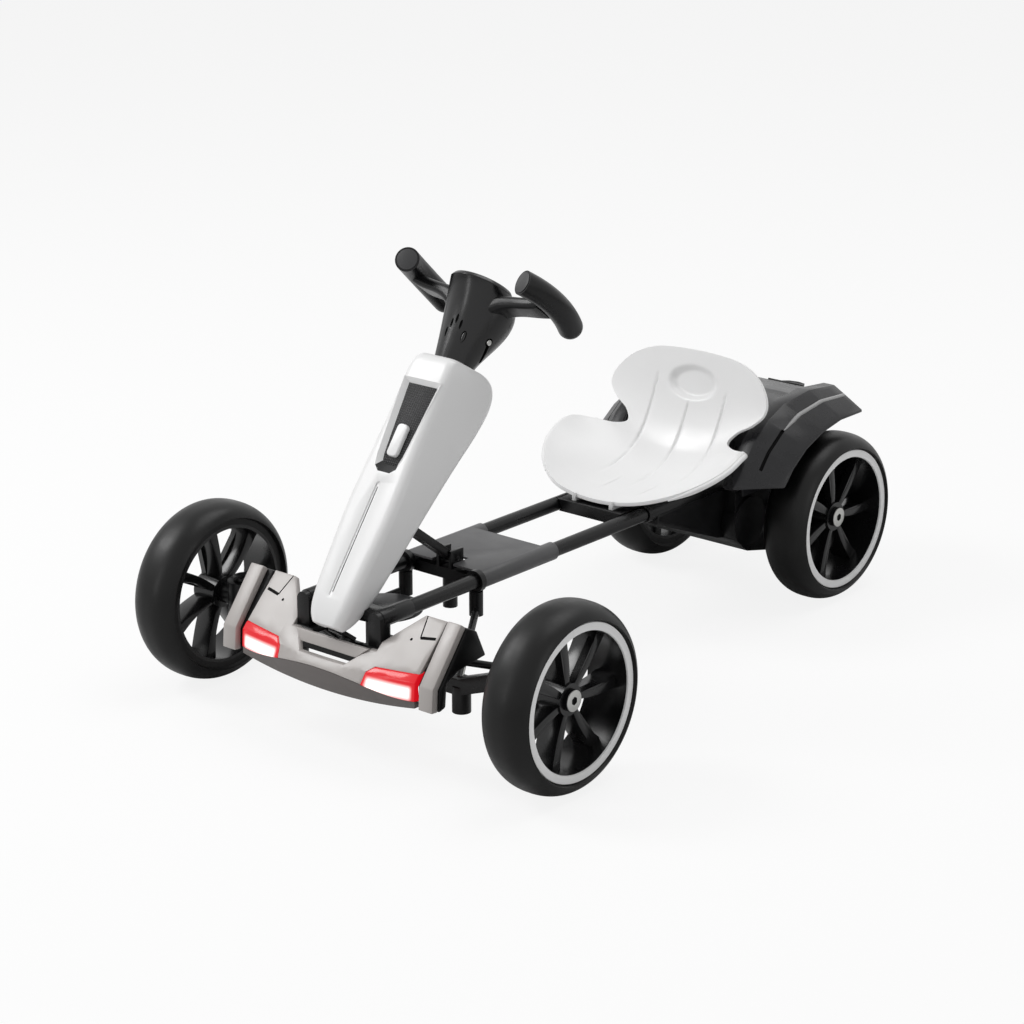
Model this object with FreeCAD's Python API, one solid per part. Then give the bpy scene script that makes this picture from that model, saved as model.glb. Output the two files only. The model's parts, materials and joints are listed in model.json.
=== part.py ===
# Kids electric go-kart, built as an assembly of separate pieces.
# Units are millimetres. Z is up, the kart drives towards -Y, +X is the driver's left.
# Each piece is drawn from a base point (front axle, rear axle, seat or steering head), so
# that it follows when the wheelbase, the tracks or the wheels change. At the end every
# piece moves by ORIGIN_SHIFT, which brings the origin under the middle of the outline.
import FreeCAD, Part
import math
import os

V = FreeCAD.Vector

# Overall layout
WHEELBASE = 646.6
FRONT_TRACK = 492.0
REAR_TRACK = 249.0
WHEEL_R = 100.0
TYRE_WIDTH = 64.0
FRONT = V(0, -WHEELBASE / 2, WHEEL_R)
REAR = V(0, WHEELBASE / 2, WHEEL_R)
SEAT_AHEAD = 223.3
SEAT = V(0, REAR.y - WHEEL_R - SEAT_AHEAD, WHEEL_R)

# Fits
RUNNING_GAP = 0.05
FIT_GAP = 0.3
SIDE_PLAY = 0.4

# Wheels
TYRE_HEIGHT = 23.0
BEAD_R = WHEEL_R - TYRE_HEIGHT
BEAD_HALF = TYRE_WIDTH / 2 - 7.0
CROWN_DROP = 28.0
CROWN_POWER = 2.4
CROWN_START = 24.0
CROWN_STEPS = 18
RIM_WALL = 3.5
HUB_R = 17.0
HUB_INNER = 18.0
HUB_OUTER = 12.0
SPOKE_COUNT = 7
SPOKE_ROOT = 7.0
SPOKE_TIP = 11.0
SPOKE_DEPTH = 8.0
SPOKE_FACE = 10.0
SPOKE_PHASE = -41.2
RING_INNER_R = BEAD_R - 3.0
RING_OUTER_R = BEAD_R + 6.0
RING_THICK = 1.6
RING_CHAMFER = 0.5
AXLE_R = 6.0
SHOULDER_R = 11.0
NUT_R = 11.5
NUT_THICK = 3.4

# Frame tubes and the fittings on them
TUBE_X = 50.0
TUBE_RISE = 50.0
TUBE_Z = WHEEL_R + TUBE_RISE
TUBE_R = 8.0
TUBE_WALL = 1.5
TUBE_FRONT = FRONT.y - 50.7
TUBE_REAR = REAR.y - 135.3
COLLAR_R = 9.5
COLLAR_FRONT = TUBE_FRONT - 9.0
COLLAR_REAR = FRONT.y - 7.7
COLLAR_STEP = 6.0
BLOCK_HALF = 8.5
BLOCK_DEPTH = 14.0
BLOCK_DROP = 28.0

# Foot plate
PLATE_FRONT = FRONT.y + 102.3
PLATE_REAR = PLATE_FRONT + 122.5
SHEET_REAR = PLATE_FRONT + 106.0
PLATE_ROLL_R = 10.0
PLATE_THICK = 2.5
EAR_SLOT = 30.0
EAR_SLOT_REACH = 25.0

# Front beam, kingpins and stays
BEAM_DROP = 21.0
BEAM_HALF_Y = 8.0
BEAM_HALF_Z = 9.0
KINGPIN_INSET = 51.0
KINGPIN_X = FRONT_TRACK / 2 - KINGPIN_INSET
BEAM_FLAT_X = KINGPIN_X - 77.0
KINGPIN_R = 5.0
KNUCKLE_R = 19.0
KNUCKLE_HALF = 22.0
CLEVIS_GAP = 0.6
CLEVIS_THICK = 4.0
CLEVIS_R = 13.0
YOKE_GAP = 1.2
BUSH_X = BEAM_FLAT_X - 3.0
BUSH_R = 10.0
BUSH_DROP = 20.0
STAY_Y = PLATE_FRONT - 3.5
SADDLE_WIDTH = 7.0
STAY_SLEEVE_R = 7.5
STAY_SLEEVE_DROP = 38.0
STAY_ROD_R = 4.0
STAY_FOOT_DROP = 15.0

# Steering head, shaft and linkage
HEAD_TILT = 36.3
TILT = math.radians(HEAD_TILT)
UP = V(0, math.sin(TILT), math.cos(TILT))
BACK = V(0, math.cos(TILT), -math.sin(TILT))
HEAD = FRONT + V(0, 170.8, 350.0)
HEAD_LENGTH = 100.0
HEAD_TOP_R = 35.0
# Rings between the head's top and foot: share of its length, radius, set back
HEAD_RINGS = ((0.25, 38.3, 12.3), (0.6, 30.5, 11.6))
HEAD_FOOT_R = 20.5
HEAD_FOOT_SHIFT = 7.0
HEAD_WALL = 3.0
HEAD_ROOM = 3.0
STEER_RANGE = 30.0
CAP_THICK = 5.0
CAP_TAPER = 3.0
SHAFT_R = 7.0
SHAFT_LENGTH = 404.0
PITMAN_LENGTH = 25.0
PITMAN_WIDTH = 14.0
PITMAN_THICK = 4.0
PITMAN_LIFT = 8.0
ARM_LENGTH = 38.0
ARM_THICK = 6.0
ARM_DROP = 14.0
TIE_R = 4.0
TIE_PIN_R = 3.0
TIE_PIN_ROOM = 4.0
TIE_EYE_R = 10.5
TIE_EYE_HEIGHT = 10.0
GRIP_R = 13.5
BRIDGE_DROP = 17.0

# Column shell
SHELL_TOP = HEAD + V(0, -95.0, -81.1)
DOWN = -UP
IN = BACK
SHELL_WALL = 2.6
SHELL_ROUND = 11.0
# Each row: distance below the top along the front line, front half width, set back of the
# front face, depth, rear half width
SHELL_STATIONS = (
    (-28.0, 22.0, 8.0, 52.0, 42.0),
    (-20.0, 26.0, 1.5, 64.0, 48.0),
    (-6.0, 28.0, 0.0, 69.0, 50.0),
    (12.0, 28.0, 0.0, 69.5, 50.0),
    (60.0, 28.5, 0.0, 62.0, 47.0),
    (110.0, 31.0, 0.0, 53.5, 43.0),
    (160.0, 33.0, 0.0, 47.0, 38.0),
    (205.0, 30.5, 0.0, 42.0, 33.5),
    (240.0, 28.0, 0.0, 36.5, 30.5),
    (262.0, 25.0, 1.6, 31.0, 27.0),
    (277.0, 17.0, 7.0, 24.0, 19.0),
)
GROOVE_START = 122.0
GROOVE_END = 245.0
GROOVE_HALF = 2.9
GROOVE_DEPTH = 1.1
RECESS_TOP_HALF = 20.0
RECESS_FOOT_HALF = 7.0
RECESS_START = 8.0
RECESS_LENGTH = 98.0
RECESS_DEPTH = 1.6
RECESS_FACE = 0.7
PILL_R = 8.5
PILL_START = 63.5
PILL_LENGTH = 17.0
PILL_RISE = 2.2

# Inside the column
COLUMN_TUBE_R = 10.5
COLUMN_TUBE_START = 20.0
COLUMN_TUBE_END = 270.0
FLANGE_PLACES = (24.0, 150.0)
FLANGE_THICK = 3.0
BASE_Y = FRONT.y - 40.7
BASE_DEPTH = 20.0
BASE_DROP = 5.0
BASE_HEIGHT = 9.0
PIVOT = V(0, PLATE_FRONT + 12.0, TUBE_Z + 12.0)
BRACKET_HALF = 10.0
EAR_THICK = 3.7
EAR_RISE = 10.0
POST_R = 8.0
POST_LENGTH = 36.0
BRACE_WIDTH = 13.0
BRACE_DEPTH = 9.0
BRACE_PIN_R = 3.0
BRACE_HEAD_ALONG = 143.0
COVER_RISE = 31.0
COVER_R = 41.0
COVER_THICK = 4.0
COVER_AHEAD = 10.0
COVER_STEM_R = 13.0

# Bumper
BUMPER_HALF = 121.0
BUMPER_WALL = 4.0
BUMPER_TOP = (-26.7, 57.5)
BUMPER_FOLD = (-86.7, 6.0)
BUMPER_NOSE = (-94.7, -2.0)
LIP_FOOT = (-81.7, -31.0)
LIP_DEPTH = 9.0
SWEEP_FOLD = 9.0
SWEEP_NOSE = 16.0
NOSE_DROP = 11.5
LIP_RISE = 10.0
NOTCH_TOP_HALF = 109.0
NOTCH_FOOT_HALF = 31.0
NOTCH_TOP = 71.5
LAMP_PROUD = 1.0
LAMP_DEPTH = 8.0
LAMP_OUTLINE = ((57.0, -16.0), (60.5, 5.0), (68.0, 10.5), (BUMPER_HALF, 13.0),
                (BUMPER_HALF, -16.0))
LIGHT_BAR_LINE = ((-70.2, 22.6), (-76.5, 12.5), (-72.5, 12.5), (-66.2, 22.6))
MOUNT_LINE = ((-62.0, 22.0), (-69.0, 16.0), (-21.7, 16.0), (-21.7, 22.0))
MOUNT_HALF = 112.0
MOUNT_GAP = 68.0
WING_INNER = 129.0
WING_OUTER = 147.5
WING_LINE = ((-36.7, 63.0), (-80.7, 6.0), (-82.7, -19.2), (-73.7, -20.0), (-72.7, 3.0),
             (-29.7, 58.0))
HOUSING_OUTER = 150.0
HOUSING_LINE = ((-29.7, 58.0), (-72.7, 3.0), (-73.7, -20.0), (-63.7, -17.0), (-61.7, 7.0),
                (-44.7, 16.0), (-1.7, 21.0), (-15.7, 51.0))

# Rear module
SLEEVE_R = 10.0
SLEEVE_FRONT = SEAT.y + 64.0
SLEEVE_REAR = REAR.y - 117.3
CROSS_FRONT = SEAT.y + 28.0
CROSS_REAR = SLEEVE_FRONT + 14.0
CROSS_DROP = 6.0
CROSS_RISE = 8.0
BOX_HALF = 60.0
BOX_DROP = 12.0
RIB_X = 24.0
RIB_THICK = 5.0
RIB_FRONT = CROSS_FRONT + 6.0
RIB_REAR = SEAT.y + 176.0
TYRE_CLEARANCE = 6.5
COVER_HALF = (REAR_TRACK - TYRE_WIDTH) / 2 - TYRE_CLEARANCE
COVER_SCALE = WHEEL_R / 100.0
COVER_WALL = 3.0
MOTOR_HALF = COVER_HALF - 10.0
MOTOR_TOP = 47.0
MOTOR_LINE = ((0.0, -12.0), (27.0, -32.0), (70.0, -42.0), (120.0, -44.0), (150.0, -30.0),
              (160.0, -5.0), (160.0, 25.0), (139.0, MOTOR_TOP))
TRAY_THICK = 4.0
TUBE_STROKE = 60.0
DRUM_AT = (-93.3, 6.0)
DRUM_R = 30.0
DRUM_PROUD = 4.0
FENDER_OUTER = REAR_TRACK / 2 + 15.5
FENDER_CREASE = COVER_HALF + 14.0
FENDER_FOOT = 64.0
WALL_REAR = 42.7
# Outline of the deck on the rear axle's base, drawn for a wheel of 100 mm radius
DECK_LINE = ((-117.3, 60.0), (-111.3, 96.0), (-91.3, 124.0), (-61.3, 140.0), (-23.3, 146.0),
             (37.7, 134.0), (78.0, 122.7), (107.7, 108.0), (123.7, 88.0), (123.7, 70.0))
# Each row: crease (y, z) and outer edge (y, z) of the mudguard, on the same base
FENDER_STATIONS = (
    ((-175.0, 46.0), (-134.0, 36.0)),
    ((-145.3, 78.0), (-115.3, 64.0)),
    ((-118.3, 111.0), (-97.3, 84.0)),
    ((-91.3, 131.0), (-71.3, 102.0)),
    ((-60.3, 144.5), (-39.3, 114.6)),
    ((-10.3, 150.0), (-1.3, 122.0)),
    ((52.0, 144.0), (62.0, 122.0)),
)
DECK_REAR = REAR.y + DECK_LINE[-1][0] * COVER_SCALE
DECK_CORNER = 70.0
PAD_LENGTH = 26.0
PAD_HALF = 22.0
PAD_THICK = 2.4
PAD_SEGMENT = (6, 7)

# Seat
SEAT_WALL = 4.0
SEAT_POWER = 2.2
SEAT_REACH = 1.1
# Each row: middle (y, z), edge (x, y, z), on the seat's base
SEAT_STATIONS = (
    ((8.0, 72.0), (96.0, 22.5, 90.0)),
    ((40.0, 65.0), (106.0, 48.7, 90.0)),
    ((80.0, 63.0), (112.0, 85.5, 92.5)),
    ((120.0, 65.0), (115.0, 122.0, 100.0)),
    ((155.0, 72.0), (115.0, 151.5, 109.5)),
    ((184.0, 90.0), (114.0, 175.5, 114.5)),
    ((205.0, 122.0), (112.0, 196.0, 127.0)),
    ((220.0, 158.0), (110.0, 211.5, 151.5)),
    ((231.0, 190.0), (109.0, 223.7, 183.0)),
    ((242.0, 222.0), (108.0, 236.0, 214.5)),
)
# Half of the seat's outline, seen along the line half way between its pan and its back
SEAT_OUTLINE = ((52, 149), (87, 169), (114, 201), (125, 231), (122, 259), (105, 270), (85, 275),
                (72, 283), (80, 296), (98, 307), (110, 321), (107, 338), (88, 358), (56, 371))
SEAT_OUTLINE_FRONT = 142.0
SEAT_OUTLINE_TOP = 375.0
OUTLINE_RISE = 100.0

ORIGIN_SHIFT = -(DECK_REAR + (FRONT.y - WHEEL_R)) / 2

PIECES = []


def piece(name, shape):
    PIECES.append((name, shape))


def box(x0, x1, y0, y1, z0, z1):
    return Part.makeBox(x1 - x0, y1 - y0, z1 - z0, V(x0, y0, z0))


def rod(start, end, radius):
    axis = end - start
    return Part.makeCylinder(radius, axis.Length, start, axis)


def upright(x, y, z0, z1, radius):
    return Part.makeCylinder(radius, z1 - z0, V(x, y, z0))


def mirrored(shape):
    return shape.mirror(V(0, 0, 0), V(1, 0, 0))


def pair(shape):
    return Part.makeCompound([shape, mirrored(shape)])


def both(x, y0, y1, z, radius):
    # Two rods along Y, one at each side.
    return pair(rod(V(x, y0, z), V(x, y1, z), radius))


def fused(shapes):
    return shapes[0].fuse(shapes[1:]).removeSplitter()


def polygon(points):
    return Part.makePolygon(points + points[:1])


def profile_x(points, x0, x1, base):
    # Closed outline of (y, z) points on a base, drawn out along X.
    wire = polygon([V(x0, base.y + y, base.z + z) for y, z in points])
    return Part.Face(wire).extrude(V(x1 - x0, 0, 0))


def profile_y(points, y0, y1, base):
    # Closed outline of (x, z) points, drawn out along Y.
    wire = polygon([V(x, y0, base.z + z) for x, z in points])
    return Part.Face(wire).extrude(V(0, y1 - y0, 0))


def profile_z(points, z0, z1):
    wire = polygon([V(x, y, z0) for x, y in points])
    return Part.Face(wire).extrude(V(0, 0, z1 - z0))


def turned(points, centre):
    # Closed section of (x, radius) points turned about the X axis through the centre.
    wire = polygon([V(centre.x + x, centre.y, centre.z + r) for x, r in points])
    return Part.Face(wire).revolve(centre, V(1, 0, 0), 360)


def rounded(corners, radius):
    # Closed wire through the corners of a flat outline, each corner rounded by an arc.
    edges = []
    last = None
    first = None
    count = len(corners)
    for i, corner in enumerate(corners):
        to_last = (corners[i - 1] - corner).normalize()
        to_next = (corners[(i + 1) % count] - corner).normalize()
        half = to_last.getAngle(to_next) / 2
        reach = radius / math.tan(half)
        middle = corner + (to_last + to_next).normalize() * (radius / math.sin(half) - radius)
        start = corner + to_last * reach
        end = corner + to_next * reach
        if last is None:
            first = start
        else:
            edges.append(Part.makeLine(last, start))
        edges.append(Part.Arc(start, middle, end).toShape())
        last = end
    edges.append(Part.makeLine(last, first))
    return Part.Wire(edges)


# Wheels
def tyre(centre):
    half = TYRE_WIDTH / 2
    start = math.radians(CROWN_START)
    crown = []
    for i in range(CROWN_STEPS + 1):
        t = start + (math.pi - 2 * start) * i / CROWN_STEPS
        x = half * math.copysign(abs(math.cos(t)) ** (2 / CROWN_POWER), math.cos(t))
        r = WHEEL_R - CROWN_DROP * (1 - math.sin(t) ** (2 / CROWN_POWER))
        crown.append(V(centre.x + x, centre.y, centre.z + r))
    curve = Part.BSplineCurve()
    curve.interpolate(crown)
    seat_r = RING_OUTER_R + SIDE_PLAY
    lip = [V(centre.x + x, centre.y, centre.z + r) for x, r in
           ((-BEAD_HALF, seat_r), (-BEAD_HALF, BEAD_R), (BEAD_HALF, BEAD_R), (BEAD_HALF, seat_r))]
    inside = Part.makePolygon([crown[-1]] + lip + [crown[0]])
    wire = Part.Wire([curve.toShape()] + inside.Edges)
    return Part.Face(wire).revolve(centre, V(1, 0, 0), 360)


def spoke_end(centre, side, radius, width):
    back = centre.x + (SPOKE_FACE - SPOKE_DEPTH) * side
    face = centre.x + SPOKE_FACE * side
    half = width / 2
    z = centre.z + radius
    return polygon([V(back, centre.y - half, z), V(face, centre.y - half + 1, z),
                    V(face, centre.y + half - 1, z), V(back, centre.y + half, z)])


def rim(centre, side):
    wall = BEAD_R - RIM_WALL
    barrel = turned([(-BEAD_HALF * side, wall), (-BEAD_HALF * side, BEAD_R),
                     (BEAD_HALF * side, BEAD_R), (BEAD_HALF * side, wall)], centre)
    bore = AXLE_R + RUNNING_GAP
    hub = turned([(-HUB_INNER * side, bore), (-HUB_INNER * side, HUB_R),
                  (HUB_OUTER * side, HUB_R), (HUB_OUTER * side, bore)], centre)
    blade = Part.makeLoft([spoke_end(centre, side, HUB_R - 3, SPOKE_ROOT),
                           spoke_end(centre, side, wall + 1, SPOKE_TIP)], True)
    blades = []
    for i in range(SPOKE_COUNT):
        one = blade.copy()
        one.rotate(centre, V(1, 0, 0), SPOKE_PHASE + 360.0 * i / SPOKE_COUNT)
        blades.append(one)
    shaft_room = rod(centre - V(HUB_INNER + 1, 0, 0), centre + V(HUB_INNER + 1, 0, 0), bore)
    return fused([barrel, hub] + blades).cut(shaft_room)


def trim_ring(centre, side):
    back = BEAD_HALF * side
    face = (BEAD_HALF + RING_THICK) * side
    return turned([(back, RING_INNER_R), (back, RING_OUTER_R),
                   (face, RING_OUTER_R - RING_CHAMFER), (face, RING_INNER_R + RING_CHAMFER)],
                  centre)


WHEELS = (
    ("front_left", FRONT + V(FRONT_TRACK / 2, 0, 0), 1),
    ("front_right", FRONT - V(FRONT_TRACK / 2, 0, 0), -1),
    ("rear_left", REAR + V(REAR_TRACK / 2, 0, 0), 1),
    ("rear_right", REAR - V(REAR_TRACK / 2, 0, 0), -1),
)
for corner, centre, side in WHEELS:
    piece("tyre_" + corner, tyre(centre))
    piece("rim_" + corner, rim(centre, side))
    piece("trim_ring_" + corner, trim_ring(centre, side))

# Frame tubes and their end collars
tube_bore = both(TUBE_X, TUBE_FRONT - 1, TUBE_REAR + 1, TUBE_Z, TUBE_R - TUBE_WALL)
tube_solids = both(TUBE_X, TUBE_FRONT, TUBE_REAR, TUBE_Z, TUBE_R)
piece("frame_tubes", tube_solids.cut(tube_bore))

collar_rod = rod(V(TUBE_X, COLLAR_FRONT + COLLAR_STEP, TUBE_Z), V(TUBE_X, COLLAR_REAR, TUBE_Z),
                 COLLAR_R)
block = box(TUBE_X - BLOCK_HALF, TUBE_X + BLOCK_HALF, COLLAR_FRONT, COLLAR_FRONT + BLOCK_DEPTH,
            TUBE_Z - BLOCK_DROP, TUBE_Z)
block_top = rod(V(TUBE_X, COLLAR_FRONT, TUBE_Z),
                V(TUBE_X, COLLAR_FRONT + BLOCK_DEPTH, TUBE_Z), BLOCK_HALF)
collar_solids = pair(fused([collar_rod, block, block_top]))
piece("tube_collars", collar_solids.cut(tube_solids))

# Foot plate, rolled round the tubes
rolls = both(TUBE_X, PLATE_FRONT, PLATE_REAR, TUBE_Z, PLATE_ROLL_R)
sheet_top = TUBE_Z + PLATE_ROLL_R
sheet = box(-TUBE_X, TUBE_X, PLATE_FRONT, SHEET_REAR, sheet_top - PLATE_THICK, sheet_top)
ear_slot = box(-EAR_SLOT / 2, EAR_SLOT / 2, PLATE_FRONT - 1, PLATE_FRONT + EAR_SLOT_REACH,
               TUBE_Z, sheet_top + 1)
piece("foot_plate", fused([sheet] + rolls.Solids).cut(tube_solids).cut(ear_slot))

# Front beam with a yoke and kingpin at each end
BEAM_Z = FRONT.z - BEAM_DROP
YOKE_TOP = FRONT.z + KNUCKLE_HALF + CLEVIS_GAP + CLEVIS_THICK
YOKE_FOOT = FRONT.z - KNUCKLE_HALF - CLEVIS_GAP - CLEVIS_THICK


def yoke():
    edge = KINGPIN_X - KNUCKLE_R - YOKE_GAP
    beam_y0 = FRONT.y - BEAM_HALF_Y
    beam_y1 = FRONT.y + BEAM_HALF_Y
    arm = profile_y([(BEAM_FLAT_X - 1, -BEAM_DROP - BEAM_HALF_Z),
                     (BEAM_FLAT_X - 1, -BEAM_DROP + BEAM_HALF_Z),
                     (edge - 8, 6.0), (edge - 8, YOKE_TOP - FRONT.z),
                     (edge, YOKE_TOP - FRONT.z), (edge, YOKE_FOOT - FRONT.z),
                     (edge - 8, YOKE_FOOT - FRONT.z), (edge - 14, -14.0)],
                    beam_y0, beam_y1, FRONT)
    parts = [arm, upright(KINGPIN_X, FRONT.y, YOKE_FOOT, YOKE_TOP, KINGPIN_R)]
    for z in (YOKE_FOOT, YOKE_TOP - CLEVIS_THICK):
        parts.append(upright(KINGPIN_X, FRONT.y, z, z + CLEVIS_THICK, CLEVIS_R))
        parts.append(box(edge - 4, KINGPIN_X, beam_y0, beam_y1, z, z + CLEVIS_THICK))
    parts.append(upright(BUSH_X, FRONT.y, BEAM_Z - BEAM_HALF_Z - BUSH_DROP, BEAM_Z, BUSH_R))
    return parts


beam = box(-BEAM_FLAT_X, BEAM_FLAT_X, FRONT.y - BEAM_HALF_Y, FRONT.y + BEAM_HALF_Y,
           BEAM_Z - BEAM_HALF_Z, BEAM_Z + BEAM_HALF_Z)
yoke_parts = yoke()
front_beam = fused([beam] + yoke_parts + [mirrored(part) for part in yoke_parts])
piece("front_beam", front_beam)

# Stays from the foot plate's front edge down to the beam
saddle = rod(V(TUBE_X, STAY_Y - SADDLE_WIDTH / 2, TUBE_Z),
             V(TUBE_X, STAY_Y + SADDLE_WIDTH / 2, TUBE_Z), PLATE_ROLL_R + 2)
sleeve_foot = TUBE_Z - STAY_SLEEVE_DROP
stay_sleeve = upright(TUBE_X, STAY_Y, sleeve_foot, TUBE_Z - TUBE_R - 3, STAY_SLEEVE_R)
stay_rod = rod(V(TUBE_X, STAY_Y, sleeve_foot + 6),
               V(BUSH_X - 3, FRONT.y, FRONT.z - STAY_FOOT_DROP), STAY_ROD_R)
stay = fused([saddle, stay_sleeve, stay_rod])
piece("stays", pair(stay).cut(front_beam).cut(tube_solids).cut(rolls))


# Steering knuckles
def knuckle():
    wheel_x = FRONT_TRACK / 2
    axis = V(KINGPIN_X, FRONT.y, FRONT.z)
    shoulder_end = wheel_x - HUB_INNER - SIDE_PLAY
    nut_start = wheel_x + HUB_OUTER + SIDE_PLAY
    body = upright(KINGPIN_X, FRONT.y, FRONT.z - KNUCKLE_HALF, FRONT.z + KNUCKLE_HALF, KNUCKLE_R)
    shoulder = rod(axis, V(shoulder_end, FRONT.y, FRONT.z), SHOULDER_R)
    stub = rod(axis, V(nut_start + NUT_THICK - 0.2, FRONT.y, FRONT.z), AXLE_R)
    nut = rod(V(nut_start, FRONT.y, FRONT.z), V(nut_start + NUT_THICK, FRONT.y, FRONT.z), NUT_R)
    arm_z = FRONT.z - ARM_DROP
    arm = profile_z([(KINGPIN_X - 9, FRONT.y), (KINGPIN_X + 9, FRONT.y),
                     (KINGPIN_X + 6, FRONT.y + ARM_LENGTH),
                     (KINGPIN_X - 6, FRONT.y + ARM_LENGTH)], arm_z, arm_z + ARM_THICK)
    eye = upright(KINGPIN_X, FRONT.y + ARM_LENGTH, arm_z, arm_z + ARM_THICK, 7.0)
    pin_top = FRONT.z + TIE_EYE_HEIGHT / 2 + 3
    pin = upright(KINGPIN_X, FRONT.y + ARM_LENGTH, arm_z, pin_top, TIE_PIN_R)
    kingpin_room = upright(KINGPIN_X, FRONT.y, YOKE_FOOT, YOKE_TOP, KINGPIN_R + RUNNING_GAP)
    return fused([body, shoulder, stub, nut, arm, eye, pin]).cut(kingpin_room)


piece("knuckle_left", knuckle())
piece("knuckle_right", mirrored(knuckle()))

# Tie rod: its eyes leave room for the arcs of the pins, in place of ball joints
shaft_end = HEAD - UP * SHAFT_LENGTH
pitman_pin = shaft_end + BACK * PITMAN_LENGTH
half_eye = TIE_EYE_HEIGHT / 2
end_left = V(KINGPIN_X, FRONT.y + ARM_LENGTH, FRONT.z)
end_right = V(-KINGPIN_X, FRONT.y + ARM_LENGTH, FRONT.z)
links = [rod(pitman_pin - UP * half_eye, pitman_pin + UP * half_eye, TIE_EYE_R)]
link_rooms = [rod(pitman_pin - UP * TIE_EYE_HEIGHT, pitman_pin + UP * TIE_EYE_HEIGHT,
                  TIE_PIN_R + TIE_PIN_ROOM)]
for end in (end_left, end_right):
    links.append(rod(pitman_pin, end, TIE_R))
    links.append(upright(end.x, end.y, end.z - half_eye, end.z + half_eye, TIE_EYE_R))
    link_rooms.append(upright(end.x, end.y, end.z - TIE_EYE_HEIGHT, end.z + TIE_EYE_HEIGHT,
                              TIE_PIN_R + TIE_PIN_ROOM))
piece("tie_rod", fused(links).cut(Part.makeCompound(link_rooms)))

# Steering shaft with its arm
pitman_root = shaft_end + UP * PITMAN_LIFT
half_plate = UP * (PITMAN_THICK / 2)
arm_corners = [pitman_root - half_plate + V(x, 0, 0) + BACK * d for x, d in
               ((-PITMAN_WIDTH / 2, 0), (PITMAN_WIDTH / 2, 0),
                (PITMAN_WIDTH / 2, PITMAN_LENGTH), (-PITMAN_WIDTH / 2, PITMAN_LENGTH))]
pitman = Part.Face(polygon(arm_corners)).extrude(half_plate * 2)
pitman_tip = pitman_root + BACK * PITMAN_LENGTH
steering_shaft = fused([
    rod(HEAD - UP * (HEAD_LENGTH - 1), shaft_end + UP * 4, SHAFT_R),
    pitman,
    rod(pitman_tip - half_plate, pitman_tip + half_plate, PITMAN_WIDTH / 2),
    rod(pitman_tip, pitman_pin - UP * (half_eye + 2), TIE_PIN_R)])
piece("steering_shaft", steering_shaft)


# Steering head: a hollow bellied cone under a flat cap
def head_cone(top, foot, grow):
    # Body between two planes square to the shaft, its rings and foot set back.
    sections = [(top, HEAD_TOP_R, 0.0)]
    sections += [(share * HEAD_LENGTH, radius, shift) for share, radius, shift in HEAD_RINGS]
    sections.append((foot, HEAD_FOOT_R, HEAD_FOOT_SHIFT))
    rings = []
    for along, radius, shift in sections:
        middle = HEAD - UP * along + BACK * shift
        rings.append(Part.Wire(Part.makeCircle(radius + grow, middle, UP)))
    return Part.makeLoft(rings, True)


bare_cone = head_cone(CAP_THICK, HEAD_LENGTH, 0.0)
head_hollow = head_cone(CAP_THICK, HEAD_LENGTH - HEAD_WALL * 2, -HEAD_WALL)
piece("steering_head", bare_cone.cut(head_hollow).cut(steering_shaft))
piece("head_cap", Part.makeCone(HEAD_TOP_R, HEAD_TOP_R - CAP_TAPER, CAP_THICK,
                                HEAD - UP * CAP_THICK, UP))


# Handles: a bent grip on a broad bridge from the cone's side
def bridge_section(x, back, drop, half_back, half_up):
    middle = V(x, HEAD.y, HEAD.z) + BACK * back - UP * drop
    corners = [middle + BACK * (a * half_back) + UP * (b * half_up)
               for a, b in ((-1, -1), (1, -1), (1, 1), (-1, 1))]
    return rounded(corners, half_up * 0.8)


def handle():
    front = HEAD + V(79.4, -31.0, 19.5)
    middle = HEAD + V(90.0, 2.5, -5.0)
    low = HEAD + V(86.9, 37.3, -39.4)
    curve = Part.BSplineCurve()
    curve.interpolate([front, middle, low])
    start = curve.tangent(curve.FirstParameter)[0]
    ring = Part.Wire(Part.makeCircle(GRIP_R, front, start))
    grip = Part.Wire([curve.toShape()]).makePipeShell([ring], True, True)
    bridge = Part.makeLoft([
        bridge_section(HEAD_TOP_R - 12, 2.0, BRIDGE_DROP + 10, 14.0, 16.0),
        bridge_section(HEAD_TOP_R + 12, 4.0, BRIDGE_DROP, 15.0, 7.0),
        bridge_section(HEAD_TOP_R + 32, 5.0, BRIDGE_DROP - 3, 15.0, 6.5),
        bridge_section(HEAD_TOP_R + 50, 6.0, BRIDGE_DROP - 7, 18.0, 6.5)], True)
    ball = Part.makeSphere(GRIP_R, low)
    return fused([grip, ball, bridge]).cut(bare_cone)


piece("handle_left", handle())
piece("handle_right", mirrored(handle()))


# Column shell: a thin-walled loft that narrows downwards
def shell_section(along, front_half, set_back, depth, rear_half, inset):
    origin = SHELL_TOP + DOWN * along
    corners = [(-front_half + inset, set_back + inset), (front_half - inset, set_back + inset),
               (rear_half - inset, depth - inset), (-rear_half + inset, depth - inset)]
    radius = min(SHELL_ROUND, (depth - set_back) * 0.4) - inset * 0.6
    return rounded([origin + V(x, 0, 0) + IN * d for x, d in corners], radius)


def front_patch(outline, face, depth):
    # Prism square to the shell's front face, between two depths behind that face; outline
    # points are (x, distance below the top).
    corners = [SHELL_TOP + DOWN * along + V(x, 0, 0) + IN * face for x, along in outline]
    return Part.Face(polygon(corners)).extrude(IN * (depth - face))


def capsule(half, start, end, face, depth):
    # Bar with round ends that runs down the front face, between two depths behind it.
    bar = front_patch([(-half, start), (half, start), (half, end), (-half, end)], face, depth)
    ends = [SHELL_TOP + DOWN * along + IN * face for along in (start, end)]
    return fused([bar] + [rod(end_at, end_at + IN * (depth - face), half) for end_at in ends])


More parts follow.
